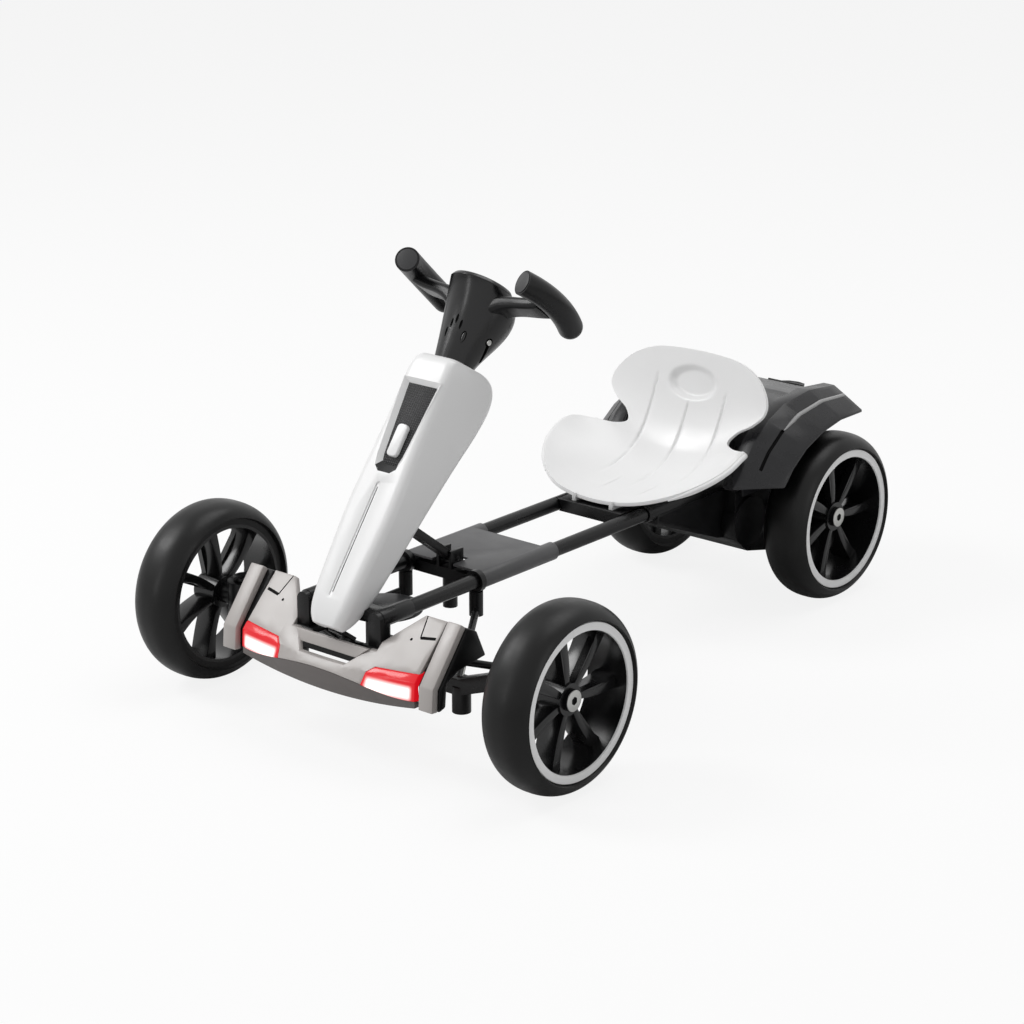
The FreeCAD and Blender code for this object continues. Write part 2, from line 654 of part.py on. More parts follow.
inner_stations = list(SHELL_STATIONS)
inner_stations[0] = (SHELL_STATIONS[0][0] + SHELL_WALL,) + SHELL_STATIONS[0][1:]
inner_stations[-1] = (SHELL_STATIONS[-1][0] - SHELL_WALL,) + SHELL_STATIONS[-1][1:]
shell_outer = Part.makeLoft([shell_section(*row, 0.0) for row in SHELL_STATIONS], True)
shell_inner = Part.makeLoft([shell_section(*row, SHELL_WALL) for row in inner_stations], True)

# The head is not round about the shaft, so its room is taken at rest and at both stops
head_rooms = []
for angle in (-STEER_RANGE, 0.0, STEER_RANGE):
    head_room = head_cone(0.0, HEAD_LENGTH + SIDE_PLAY, HEAD_ROOM)
    head_room.rotate(HEAD, UP, angle)
    head_rooms.append(head_room)
shaft_room = rod(HEAD - UP * HEAD_LENGTH, shaft_end - UP * 30, SHAFT_R + 3)
column_top = HEAD - UP * (HEAD_LENGTH + COLUMN_TUBE_START)
column_end = HEAD - UP * (HEAD_LENGTH + COLUMN_TUBE_END)
column_room = rod(column_top, column_end, COLUMN_TUBE_R + FIT_GAP)
base_z = TUBE_Z - BASE_DROP
base_y0 = BASE_Y - BASE_DEPTH / 2
base_y1 = BASE_Y + BASE_DEPTH / 2
base_bar = box(-TUBE_X, TUBE_X, base_y0, base_y1, base_z, base_z + BASE_HEIGHT)
base_room = box(-TUBE_X, TUBE_X, base_y0 - FIT_GAP, base_y1 + BASE_DEPTH,
                base_z - FIT_GAP, base_z + BASE_HEIGHT + FIT_GAP)
recess_outline = [(-RECESS_TOP_HALF, RECESS_START), (RECESS_TOP_HALF, RECESS_START),
                  (RECESS_FOOT_HALF + 6, RECESS_START + RECESS_LENGTH * 0.88),
                  (RECESS_FOOT_HALF, RECESS_START + RECESS_LENGTH),
                  (-RECESS_FOOT_HALF, RECESS_START + RECESS_LENGTH),
                  (-RECESS_FOOT_HALF - 6, RECESS_START + RECESS_LENGTH * 0.88)]
recess = front_patch(recess_outline, -5.0, RECESS_DEPTH)
groove = capsule(GROOVE_HALF, GROOVE_START, GROOVE_END, -5.0, GROOVE_DEPTH)
column_shell = shell_outer.cut(shell_inner)
for room in head_rooms + [shaft_room, column_room, base_room, recess, groove]:
    column_shell = column_shell.cut(room)
piece("column_shell", column_shell)
piece("recess_panel", front_patch(recess_outline, RECESS_FACE, RECESS_DEPTH))
piece("power_pill", capsule(PILL_R, PILL_START, PILL_START + PILL_LENGTH, -PILL_RISE,
                            RECESS_FACE))

# Tube that carries the steering shaft, held in the shell by flanges
flanges = []
for along in FLANGE_PLACES:
    slab = Part.Face(shell_section(along, 28.0, 1.0, 68.0, 50.0, 0.0)).extrude(
        DOWN * FLANGE_THICK)
    flanges.append(slab.common(shell_inner))
shaft_bore = rod(column_top + UP * 50, column_end - UP * 50, SHAFT_R + RUNNING_GAP)
column_core = rod(column_end, column_top, COLUMN_TUBE_R)
piece("column_tube", fused([column_core] + flanges).cut(shaft_bore))
piece("column_base", base_bar.cut(collar_solids).cut(rod(column_top, shaft_end, COLUMN_TUBE_R)))

# Brace from the foot plate's bracket up to the shell's rear
brace_head = SHELL_TOP + DOWN * BRACE_HEAD_ALONG + IN * 40.0
run = brace_head - PIVOT
across = V(0, -run.z, run.y).normalize() * (BRACE_DEPTH / 2)
half_brace = V(BRACE_WIDTH / 2, 0, 0)
brace_foot = Part.Face(polygon([PIVOT - half_brace - across, PIVOT + half_brace - across,
                                PIVOT + half_brace + across, PIVOT - half_brace + across]))
pin_reach = V(BRACE_WIDTH / 2 + 5, 0, 0)
brace_pin = rod(PIVOT - pin_reach, PIVOT + pin_reach, BRACE_PIN_R)
piece("column_brace", fused([brace_foot.extrude(run), brace_pin]).cut(shell_outer))

ear = box(BRACE_WIDTH / 2 + FIT_GAP, BRACE_WIDTH / 2 + FIT_GAP + EAR_THICK,
          PIVOT.y - BRACKET_HALF, PIVOT.y + BRACKET_HALF, TUBE_Z - 10, PIVOT.z + EAR_RISE)
plinth = box(-TUBE_X, TUBE_X, PIVOT.y - BRACKET_HALF, PIVOT.y + BRACKET_HALF,
             TUBE_Z - 10, TUBE_Z + 2)
post = upright(0, PIVOT.y, TUBE_Z - 8 - POST_LENGTH, TUBE_Z - 8, POST_R)
roll_rods = both(TUBE_X, PLATE_FRONT - 20, PLATE_REAR, TUBE_Z, PLATE_ROLL_R)
piece("pivot_bracket", fused([plinth, post, ear, mirrored(ear)]).cut(roll_rods).cut(brace_pin))

# Round cover over the middle of the front beam
cover_z = FRONT.z + COVER_RISE
stem = upright(0, FRONT.y, BEAM_Z + BEAM_HALF_Z, cover_z, COVER_STEM_R)
disc = upright(0, FRONT.y + COVER_AHEAD, cover_z, cover_z + COVER_THICK, COVER_R)
piece("axle_cover", fused([disc, stem]))


# Bumper: sections at stations across the kart, swept back towards the sides
def bumper_line(x):
    k = abs(x) / BUMPER_HALF
    fold = (BUMPER_FOLD[0] + SWEEP_FOLD * k * k, BUMPER_FOLD[1])
    nose = (BUMPER_NOSE[0] + SWEEP_NOSE * k * k, BUMPER_NOSE[1] - NOSE_DROP * k)
    return BUMPER_TOP, fold, nose


def panel_section(x, lift, depth):
    top, fold, nose = bumper_line(x)
    face_y, face_z = -0.652, 0.759
    edge_y, edge_z = -0.98, 0.2
    points = [(top[0] + face_y * lift, top[1] + face_z * lift),
              (fold[0] + face_y * lift, fold[1] + face_z * lift * 0.6),
              (nose[0] + edge_y * lift, nose[1] + edge_z * lift),
              (nose[0] - edge_y * depth, nose[1] - edge_z * depth),
              (fold[0] - face_y * depth, fold[1] - face_z * depth),
              (top[0] - face_y * depth, top[1] - face_z * depth)]
    return polygon([FRONT + V(x, y, z) for y, z in points])


def lip_section(x):
    k = abs(x) / BUMPER_HALF
    nose = bumper_line(x)[2]
    foot = (LIP_FOOT[0] + 3.0 * k * k, LIP_FOOT[1] + LIP_RISE * k * k)
    points = [(nose[0], nose[1] - 0.25), foot, (foot[0] + LIP_DEPTH, foot[1]),
              (nose[0] + LIP_DEPTH, nose[1] - 2.1)]
    return polygon([FRONT + V(x, y, z) for y, z in points])


bumper_stations = [BUMPER_HALF * k for k in (-1.0, -0.5, 0.0, 0.5, 1.0)]
panel = Part.makeLoft([panel_section(x, 0.0, BUMPER_WALL) for x in bumper_stations], True)
lamp_stock = Part.makeLoft([panel_section(x, LAMP_PROUD, LAMP_DEPTH) for x in bumper_stations],
                           True)
ahead = FRONT.y - 130.0
notch = profile_y([(-NOTCH_TOP_HALF, NOTCH_TOP), (-NOTCH_FOOT_HALF, BUMPER_FOLD[1]),
                   (NOTCH_FOOT_HALF, BUMPER_FOLD[1]), (NOTCH_TOP_HALF, NOTCH_TOP)],
                  ahead, FRONT.y, FRONT)
lamp_rooms = pair(profile_y(list(LAMP_OUTLINE), ahead, FRONT.y - 40.0, FRONT))
block_rooms = pair(box(TUBE_X - BLOCK_HALF - FIT_GAP, TUBE_X + BLOCK_HALF + FIT_GAP,
                       COLLAR_FRONT - 30, COLLAR_FRONT + BLOCK_DEPTH,
                       TUBE_Z - BLOCK_DROP - FIT_GAP, TUBE_Z + 20))
piece("bumper_panel", panel.cut(notch).cut(lamp_rooms).cut(block_rooms))
piece("front_lamps", lamp_stock.common(lamp_rooms))
piece("bumper_lip", Part.makeLoft([lip_section(x) for x in bumper_stations], True))
piece("light_bar", profile_x(LIGHT_BAR_LINE, -60.0, 60.0, FRONT).common(notch))

front_zone = Part.makeLoft([panel_section(x, 40.0, BUMPER_WALL) for x in bumper_stations], True)
mount_slot = box(-MOUNT_GAP / 2, MOUNT_GAP / 2, ahead, FRONT.y, FRONT.z, TUBE_Z)
mount = profile_x(MOUNT_LINE, -MOUNT_HALF, MOUNT_HALF, FRONT)
piece("bumper_mount", mount.cut(front_zone).cut(mount_slot))
piece("bumper_wings", pair(profile_x(WING_LINE, WING_INNER, WING_OUTER, FRONT)))
piece("side_housings", pair(profile_x(HOUSING_LINE, BUMPER_HALF, HOUSING_OUTER, FRONT)))

# Sleeves that slide on the frame tubes, cross member and boxes
sleeve_solids = both(TUBE_X, SLEEVE_FRONT, SLEEVE_REAR, TUBE_Z, SLEEVE_R)
sleeve_bores = both(TUBE_X, SLEEVE_FRONT - 1, SLEEVE_REAR + 1, TUBE_Z, TUBE_R + RUNNING_GAP)
piece("slide_sleeves", sleeve_solids.cut(sleeve_bores))

tube_rooms = both(TUBE_X, SEAT.y, SLEEVE_FRONT + 1, TUBE_Z, TUBE_R + 1.2)
cross = box(-TUBE_X, TUBE_X, CROSS_FRONT, CROSS_REAR, TUBE_Z - CROSS_DROP, TUBE_Z + CROSS_RISE)
cross = cross.cut(sleeve_solids).cut(tube_rooms)
piece("cross_member", cross)

box_top = MOTOR_TOP
box_rear = SLEEVE_REAR - 1.0
box_run = box_rear - CROSS_REAR
battery_box = profile_x([(0.0, box_top), (0.0, box_top - 11), (box_run - 12, -9.3),
                         (box_run, -BOX_DROP), (box_run, box_top)],
                        -BOX_HALF, BOX_HALF, V(0, CROSS_REAR, FRONT.z))
piece("battery_box", battery_box.cut(sleeve_solids).cut(cross))

wheel_inside = REAR_TRACK / 2 - HUB_INNER - SIDE_PLAY
nut_start = REAR_TRACK / 2 + HUB_OUTER + SIDE_PLAY
axle_end = V(nut_start + NUT_THICK - 0.2, 0, 0)
axle = rod(REAR - axle_end, REAR + axle_end, AXLE_R)
shoulder = rod(REAR + V(MOTOR_HALF, 0, 0), REAR + V(wheel_inside, 0, 0), SHOULDER_R)
nut = rod(REAR + V(nut_start, 0, 0), REAR + V(nut_start + NUT_THICK, 0, 0), NUT_R)
rear_axle = fused([axle, shoulder, mirrored(shoulder), nut, mirrored(nut)])
piece("rear_axle", rear_axle)

motor_base = V(0, box_rear, REAR.z)
motor = profile_x([(0.0, MOTOR_TOP)] + list(MOTOR_LINE), -MOTOR_HALF, MOTOR_HALF, motor_base)
wall_rear = REAR.y + WALL_REAR * COVER_SCALE
cover_inside = COVER_HALF - COVER_WALL
tray = box(-cover_inside, cover_inside, SLEEVE_REAR + 8, wall_rear - 20,
           REAR.z + MOTOR_TOP - TRAY_THICK, REAR.z + MOTOR_TOP)
drum_inner = REAR + V(BOX_HALF, DRUM_AT[0], DRUM_AT[1])
drum_outer = REAR + V(MOTOR_HALF + DRUM_PROUD, DRUM_AT[0], DRUM_AT[1])
drum = rod(drum_inner, drum_outer, DRUM_R)
tube_paths = both(TUBE_X, TUBE_REAR, TUBE_REAR + TUBE_STROKE + 5, TUBE_Z, TUBE_R + 1.2)
motor_housing = fused([motor, tray, drum, mirrored(drum)])
piece("motor_housing", motor_housing.cut(sleeve_solids).cut(rear_axle).cut(tube_paths))


# Rear cover: deck with side walls and mudguards
def cover_point(x, y, z):
    return REAR + V(x, y * COVER_SCALE, z * COVER_SCALE)


def inward(points, depth):
    # The same open line, moved towards the hub by the wall thickness.
    moved = []
    for i, (y, z) in enumerate(points):
        before = points[max(i - 1, 0)]
        after = points[min(i + 1, len(points) - 1)]
        length = math.hypot(after[0] - before[0], after[1] - before[1])
        moved.append((y + (after[1] - before[1]) / length * depth,
                      z - (after[0] - before[0]) / length * depth))
    return moved


def fender_section(crease, outer):
    inner_x = COVER_HALF - 1
    top_in = cover_point(inner_x, *crease)
    top_out = cover_point(FENDER_CREASE, *crease)
    low = cover_point(FENDER_OUTER, *outer)
    down = (V(0, low.y, low.z) - V(0, top_out.y, top_out.z)).normalize() * COVER_WALL
    return polygon([top_in, top_out, low, low + down, top_out + down - V(1, 0, 0),
                    top_in + down])


deck_ring = list(DECK_LINE) + inward(DECK_LINE, COVER_WALL)[::-1]
deck_ring = [(y * COVER_SCALE, z * COVER_SCALE) for y, z in deck_ring]
deck = profile_x(deck_ring, -COVER_HALF, COVER_HALF, REAR)
plan_front = SLEEVE_REAR - 20
plan_rear = DECK_REAR + 1
plan_arc = Part.Arc(V(COVER_HALF, DECK_REAR - DECK_CORNER, 0), V(0, plan_rear, 0),
                    V(-COVER_HALF, DECK_REAR - DECK_CORNER, 0)).toShape()
plan_sides = Part.makePolygon([V(-COVER_HALF, DECK_REAR - DECK_CORNER, 0),
                               V(-COVER_HALF, plan_front, 0), V(COVER_HALF, plan_front, 0),
                               V(COVER_HALF, DECK_REAR - DECK_CORNER, 0)])
plan = Part.Face(Part.Wire([plan_arc] + plan_sides.Edges)).extrude(V(0, 0, 2 * HEAD.z))
deck = deck.common(plan)

crease_line = [station[0] for station in FENDER_STATIONS]
wall_line = inward(crease_line, 1.0)
wall_line = [(y * COVER_SCALE, z * COVER_SCALE) for y, z in wall_line]
wall_foot = MOTOR_TOP - TRAY_THICK
wall = profile_x(wall_line + [(WALL_REAR * COVER_SCALE, wall_foot), (wall_line[0][0], wall_foot)],
                 cover_inside, COVER_HALF, REAR)
fender = Part.makeLoft([fender_section(*station) for station in FENDER_STATIONS], True, True)
side = fused([wall, fender])
keep = box(0, FENDER_OUTER + 1, REAR.y - 2 * WHEEL_R, wall_rear,
           REAR.z + FENDER_FOOT * COVER_SCALE, 2 * HEAD.z)
keep_wall = box(0, COVER_HALF, SLEEVE_REAR, wall_rear, REAR.z + wall_foot,
                REAR.z + FENDER_FOOT * COVER_SCALE + 1)
side = side.common(keep.fuse(keep_wall))
rear_cover = fused([deck, side, mirrored(side)])
piece("rear_cover", rear_cover)

# Plate that lies flat on one segment of the deck
pad_front, pad_rear = [cover_point(0, *DECK_LINE[i]) for i in PAD_SEGMENT]
pad = Part.makeBox(2 * PAD_HALF, PAD_LENGTH, PAD_THICK, V(-PAD_HALF, -PAD_LENGTH / 2, 0))
pad.rotate(V(0, 0, 0), V(1, 0, 0),
           math.degrees(math.atan2(pad_rear.z - pad_front.z, pad_rear.y - pad_front.y)))
pad.translate((pad_front + pad_rear) / 2)
piece("rear_pad", pad)

# Seat: a shell between rows of points, trimmed to its outline
rows = []
for (mid_y, mid_z), (edge_x, edge_y, edge_z) in SEAT_STATIONS:
    row = []
    for j in range(-6, 7):
        t = SEAT_REACH * j / 6.0
        rise = abs(t) ** SEAT_POWER
        row.append(SEAT + V(t * edge_x, mid_y + (edge_y - mid_y) * rise,
                            mid_z + (edge_z - mid_z) * rise))
    rows.append(row)
skin = Part.BSplineSurface()
skin.interpolate(rows)
skin = skin.toShape()
seat_body = skin.makeOffsetShape(-SEAT_WALL, 0.01, fill=True)
HALF_RIGHT = 1 / math.sqrt(2)
outline = [(0, SEAT_OUTLINE_FRONT)] + list(SEAT_OUTLINE) + [(0, SEAT_OUTLINE_TOP)]
outline += [(-x, w) for x, w in SEAT_OUTLINE[::-1]]
loop = Part.BSplineCurve()
loop.interpolate([SEAT + V(x, w * HALF_RIGHT + 200 * HALF_RIGHT,
                           w * HALF_RIGHT - 200 * HALF_RIGHT - OUTLINE_RISE)
                  for x, w in outline], PeriodicFlag=True)
sight = V(0, -500 * HALF_RIGHT, 500 * HALF_RIGHT)
seat_body = seat_body.common(Part.Face(Part.Wire([loop.toShape()])).extrude(sight))
piece("seat", seat_body)

rib = box(RIB_X, RIB_X + RIB_THICK, RIB_FRONT, RIB_REAR, REAR.z + MOTOR_TOP, TUBE_Z + 60)
rib = rib.cut(skin.extrude(V(0, 0, 150))).cut(cross).cut(seat_body)
piece("seat_ribs", pair(rib))

for name, shape in PIECES:
    print(name, shape.isValid(), len(shape.Solids))

os.makedirs("parts", exist_ok=True)
for name, shape in PIECES:
    moved = shape.copy()
    moved.translate(V(0, ORIGIN_SHIFT, 0))
    moved.exportStep("parts/" + name + ".step")
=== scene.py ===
"""Kids electric go-kart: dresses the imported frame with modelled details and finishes."""
import json
import logging
import math
from contextlib import contextmanager
from dataclasses import dataclass, field
from enum import Enum
from typing import Callable, Iterator, Mapping, Optional, Sequence

import bpy
from mathutils import Matrix, Vector


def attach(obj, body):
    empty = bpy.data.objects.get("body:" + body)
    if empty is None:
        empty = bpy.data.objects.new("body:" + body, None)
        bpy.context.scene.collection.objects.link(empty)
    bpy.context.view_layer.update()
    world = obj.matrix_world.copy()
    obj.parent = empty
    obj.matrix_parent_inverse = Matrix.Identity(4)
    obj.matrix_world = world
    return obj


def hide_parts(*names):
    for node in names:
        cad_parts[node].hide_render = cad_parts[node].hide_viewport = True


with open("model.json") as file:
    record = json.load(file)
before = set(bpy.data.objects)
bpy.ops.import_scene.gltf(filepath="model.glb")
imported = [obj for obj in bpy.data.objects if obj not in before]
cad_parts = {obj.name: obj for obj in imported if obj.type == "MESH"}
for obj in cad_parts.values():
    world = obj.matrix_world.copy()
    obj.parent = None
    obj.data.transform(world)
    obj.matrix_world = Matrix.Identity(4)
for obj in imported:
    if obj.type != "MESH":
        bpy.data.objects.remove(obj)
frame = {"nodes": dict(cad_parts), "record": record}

LOG = logging.getLogger("kart")
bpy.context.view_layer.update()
MM = 0.001
# The drawing's zero lies between the axles; the frame's lies under the middle of the kart.
SHIFT_Y = -11.85
HEAD_TILT = math.radians(36.3)
UP = Vector((0.0, math.sin(HEAD_TILT), math.cos(HEAD_TILT)))
BACK = Vector((0.0, math.cos(HEAD_TILT), -math.sin(HEAD_TILT)))
SIDE = Vector((1.0, 0.0, 0.0))
# Vertices of a CAD mesh closer than this are one vertex, and faces as flat as this one face.
MERGE_MM = 0.002
FLAT_DEGREES = 0.4
# Edges sharper than this get rounded.
SOFT_DEGREES = 32.0
# An edge sharper than this stays sharp in shading, by the kind of surface.
CREASE_DEGREES = 35.0
FACET_DEGREES = 20.0
TUBE_DEGREES = 40.0
SHELL_DEGREES = 45.0
BEAD_DEGREES = 50.0
BALL_DEGREES = 60.0
# Cosine above which a face counts as looking along a direction.
FACING = 0.99
# How fast a tapered bead reaches its full radius, in shares of its length.
TAPER_RATE = 3.0
# Octaves of the noises: cloudy colour, fine grain, orange peel and smudges.
CLOUD_DETAIL, FINE_DETAIL, PEEL_DETAIL, SMUDGE_DETAIL = 3.0, 4.0, 1.0, 5.0
SMUDGE_MM = 35.0
SMUDGE_BREAKUP = 0.6
# Most of a noise lies between these two, so they are stretched to the whole span.
NOISE_SPAN = (0.3, 0.7)
LEAST_ROUGHNESS = 0.02
BUMP_STRENGTH = 0.6
# The wave texture takes its coordinate times this.
WAVE_FACTOR = 20.0


def linear(colour: str) -> tuple[float, float, float, float]:
    """Turns an sRGB hex colour into the linear values that a shader takes.

    Args:
        colour: Hex value such as "F2F2F2".

    Returns:
        Red, green, blue and an alpha of 1.
    """
    values = [int(colour[i:i + 2], 16) / 255 for i in (0, 2, 4)]
    values = [v / 12.92 if v <= 0.04045 else ((v + 0.055) / 1.055) ** 2.4 for v in values]
    return (values[0], values[1], values[2], 1.0)


def add_node(tree: bpy.types.NodeTree, kind: str, settings: Optional[Mapping] = None,
             links: Optional[Mapping] = None) -> bpy.types.Node:
    """Adds a node with its settings and links.

    Args:
        tree: The material's node tree.
        kind: The node's type name.
        settings: Values by property name, or by input name or number.
        links: Output sockets by input name or number.

    Returns:
        The new node.
    """
    node = tree.nodes.new(kind)
    for key, value in (settings or {}).items():
        if isinstance(key, int) or key in node.inputs:
            node.inputs[key].default_value = value
        else:
            setattr(node, key, value)
    for key, socket in (links or {}).items():
        tree.links.new(socket, node.inputs[key])
    return node


class Grain(Enum):
    """How a surface's fine texture runs."""

    FINE = "fine"
    STIPPLE = "stipple"
    PEEL = "peel"


@dataclass(frozen=True)
class Finish:
    """A surface finish: colour, gloss and the fine texture left by how it was made."""

    name: str
    colour: str
    roughness: float
    grain: Grain = Grain.FINE
    grain_mm: float = 1.2
    grain_depth_mm: float = 0.02
    cloud: float = 0.04
    cloud_mm: float = 90.0
    smudge: float = 0.06
    metallic: float = 0.0
    ior: float = 1.46
    coat: float = 0.0
    coat_roughness: float = 0.12
    specular: float = 0.5

    def material(self) -> bpy.types.Material:
        """Makes the material once and returns it from then on."""
        made = bpy.data.materials.get(self.name)
        if made:
            return made
        made = bpy.data.materials.new(self.name)
        made.use_nodes = True
        tree = made.node_tree
        tree.nodes.clear()
        place = add_node(tree, "ShaderNodeTexCoord").outputs["Object"]
        shader = self.shader(tree, place)
        add_node(tree, "ShaderNodeOutputMaterial", links={"Surface": shader.outputs[0]})
        made.diffuse_color = linear(self.colour)
        return made

    def tone(self, tree: bpy.types.NodeTree, place: bpy.types.NodeSocket,
             colour: str) -> bpy.types.NodeSocket:
        """Gives a colour a faint cloudiness.

        Args:
            tree: The material's node tree.
            place: Coordinates in metres.
            colour: Hex value of the middle tone.

        Returns:
            The colour socket.
        """
        cloud = add_node(tree, "ShaderNodeTexNoise",
                         {"Scale": 1.0 / (self.cloud_mm * MM), "Detail": CLOUD_DETAIL},
                         {"Vector": place})
        base = linear(colour)
        dark = tuple(v * (1.0 - self.cloud) for v in base[:3]) + (1.0,)
        light = tuple(min(1.0, v * (1.0 + self.cloud)) for v in base[:3]) + (1.0,)
        mix = add_node(tree, "ShaderNodeMix", {"data_type": "RGBA", 6: dark, 7: light},
                       {0: cloud.outputs["Fac"]})
        return mix.outputs[2]

    def relief(self, tree: bpy.types.NodeTree,
               place: bpy.types.NodeSocket) -> bpy.types.NodeSocket:
        """Makes the fine texture's bump.

        Args:
            tree: The material's node tree.
            place: Coordinates in metres.

        Returns:
            The normal socket.
        """
        scale = 1.0 / (self.grain_mm * MM)
        if self.grain is Grain.STIPPLE:
            cells = add_node(tree, "ShaderNodeTexVoronoi", {"feature": "F1", "Scale": scale},
                             {"Vector": place})
            height = cells.outputs["Distance"]
        else:
            detail = PEEL_DETAIL if self.grain is Grain.PEEL else FINE_DETAIL
            noise = add_node(tree, "ShaderNodeTexNoise", {"Scale": scale, "Detail": detail},
                             {"Vector": place})
            height = noise.outputs["Fac"]
        bump = add_node(tree, "ShaderNodeBump",
                        {"Strength": BUMP_STRENGTH, "Distance": self.grain_depth_mm * MM},
                        {"Height": height})
        return bump.outputs["Normal"]

    def gloss(self, tree: bpy.types.NodeTree,
              place: bpy.types.NodeSocket) -> bpy.types.NodeSocket:
        """Varies the roughness a little, as handling does.

        Args:
            tree: The material's node tree.
            place: Coordinates in metres.

        Returns:
            The roughness socket.
        """
        noise = add_node(tree, "ShaderNodeTexNoise",
                         {"Scale": 1.0 / (SMUDGE_MM * MM), "Detail": SMUDGE_DETAIL,
                          "Roughness": SMUDGE_BREAKUP}, {"Vector": place})
        span = add_node(tree, "ShaderNodeMapRange",
                        {"From Min": NOISE_SPAN[0], "From Max": NOISE_SPAN[1],
                         "To Min": max(LEAST_ROUGHNESS, self.roughness - self.smudge),
                         "To Max": min(1.0, self.roughness + self.smudge)},
                        {"Value": noise.outputs["Fac"]})
        return span.outputs["Result"]

    def shader(self, tree: bpy.types.NodeTree,
               place: bpy.types.NodeSocket) -> bpy.types.Node:
        """Builds the surface shader.

        Args:
            tree: The material's node tree.
            place: Coordinates in metres.

        Returns:
            The Principled BSDF node.
        """
        return add_node(
            tree, "ShaderNodeBsdfPrincipled",
            {"Metallic": self.metallic, "IOR": self.ior, "Coat Weight": self.coat,
             "Coat Roughness": self.coat_roughness, "Specular IOR Level": self.specular},
            {"Base Color": self.tone(tree, place, self.colour),
             "Roughness": self.gloss(tree, place), "Normal": self.relief(tree, place)})


@dataclass(frozen=True)
class WovenFinish(Finish):
    """Plastic with a moulded weave across the column's front face."""

    pitch_mm: float = 2.6
    thread_mm: float = 0.5
    # Painted shade: the gaps between the threads are painted darker than the threads.
    painted_gap_shade: str = "0B0B0C"

    def relief(self, tree: bpy.types.NodeTree,
               place: bpy.types.NodeSocket) -> bpy.types.NodeSocket:
        """Crosses two sets of raised threads.

        Args:
            tree: The material's node tree.
            place: Coordinates in metres.

        Returns:
            The normal socket.
        """
        bump = add_node(tree, "ShaderNodeBump", {"Strength": 1.0, "Distance": self.thread_mm * MM},
                        {"Height": self.weave(tree, place)})
        return bump.outputs["Normal"]

    def weave(self, tree: bpy.types.NodeTree,
              place: bpy.types.NodeSocket) -> bpy.types.NodeSocket:
        """Crosses two waves into the height of the threads.

        Args:
            tree: The material's node tree.
            place: Coordinates in metres.

        Returns:
            The height socket, 0 in the gaps and 1 on the threads.
        """
        turned = add_node(tree, "ShaderNodeMapping", {"Rotation": (HEAD_TILT, 0.0, 0.0)},
                          {"Vector": place})
        scale = 2.0 * math.pi / (WAVE_FACTOR * self.pitch_mm * MM)
        bands = [add_node(tree, "ShaderNodeTexWave",
                          {"wave_type": "BANDS", "bands_direction": way, "Scale": scale},
                          {"Vector": turned.outputs[0]}) for way in ("X", "Z")]
        cross = add_node(tree, "ShaderNodeMath", {"operation": "MULTIPLY"},
                         {0: bands[0].outputs["Fac"], 1: bands[1].outputs["Fac"]})
        return cross.outputs[0]

    def tone(self, tree: bpy.types.NodeTree, place: bpy.types.NodeSocket,
             colour: str) -> bpy.types.NodeSocket:
        """Paints shade into the gaps between the raised threads, so that the threads stand out
        lighter.
            place: Coordinates in metres.
            colour: Hex value of the threads.

        Returns:
            The colour socket.
        """
        mix = add_node(tree, "ShaderNodeMix",
                       {"data_type": "RGBA", 6: linear(self.painted_gap_shade), 7: linear(colour)},
                       {0: self.weave(tree, place)})
        return mix.outputs[2]


@dataclass(frozen=True)
class LampFinish(Finish):
    """Red lamp glass with a white-hot bar behind it."""

    bar_x_mm: tuple[float, float] = (64.0, 116.0)
    bar_z_mm: tuple[float, float] = (88.0, 100.5)
    soft_mm: float = 6.0
    strength: float = 1.5
    glass_glow: str = "A00A14"
    bar_glow: str = "FFEDEA"

    def shader(self, tree: bpy.types.NodeTree,
               place: bpy.types.NodeSocket) -> bpy.types.Node:
        """Adds the light of the bar, by its place in the lamp.

        Args:
            tree: The material's node tree.
            place: Coordinates in metres.

        Returns:
            The Principled BSDF node.
        """
        base = super().shader(tree, place)
        split = add_node(tree, "ShaderNodeSeparateXYZ", links={0: place})
        out = add_node(tree, "ShaderNodeMath", {"operation": "ABSOLUTE"},
                       {0: split.outputs["X"]})
        hot = None
        for socket, (low, high) in ((out.outputs[0], self.bar_x_mm),
                                    (split.outputs["Z"], self.bar_z_mm)):
            for edge, way in ((low, 1.0), (high, -1.0)):
                side = add_node(tree, "ShaderNodeMapRange",
                                {"interpolation_type": "SMOOTHSTEP",
                                 "From Min": (edge - way * self.soft_mm / 2) * MM,
                                 "From Max": (edge + way * self.soft_mm / 2) * MM},
                                {"Value": socket})
                hot = side.outputs["Result"] if hot is None else add_node(
                    tree, "ShaderNodeMath", {"operation": "MULTIPLY"},
                    {0: hot, 1: side.outputs["Result"]}).outputs[0]
        glow = add_node(tree, "ShaderNodeMix",
                        {"data_type": "RGBA", 6: linear(self.glass_glow),
                         7: linear(self.bar_glow)}, {0: hot})
        tree.links.new(glow.outputs[2], base.inputs["Emission Color"])
        base.inputs["Emission Strength"].default_value = self.strength
        return base


# Moulded ABS, injection moulded and unpainted: white body panels with a soft satin gloss.
WHITE_ABS = Finish("moulded_white_abs", "E6E6E6", 0.34, cloud=0.012, grain_mm=1.5,
                   grain_depth_mm=0.012, coat=0.12, coat_roughness=0.25)
# The same plastic in warm light grey, as on the bumper.
GREY_ABS = Finish("moulded_warm_grey_abs", "A9A4A1", 0.36, cloud=0.02, grain_mm=1.5,
                  grain_depth_mm=0.015, coat=0.1, coat_roughness=0.3)
# Darker grey lip under the bumper, with a light stipple from the mould.
LIP_ABS = Finish("moulded_lip_abs", "625D5B", 0.45, Grain.STIPPLE, 0.9, 0.02, cloud=0.03)
# Polypropylene: black structural mouldings with a fine stipple that dulls the light.
BLACK_PP = Finish("moulded_black_polypropylene", "0D0D0E", 0.36, Grain.STIPPLE, 0.8, 0.03,
                  cloud=0.12, smudge=0.08, specular=0.2)
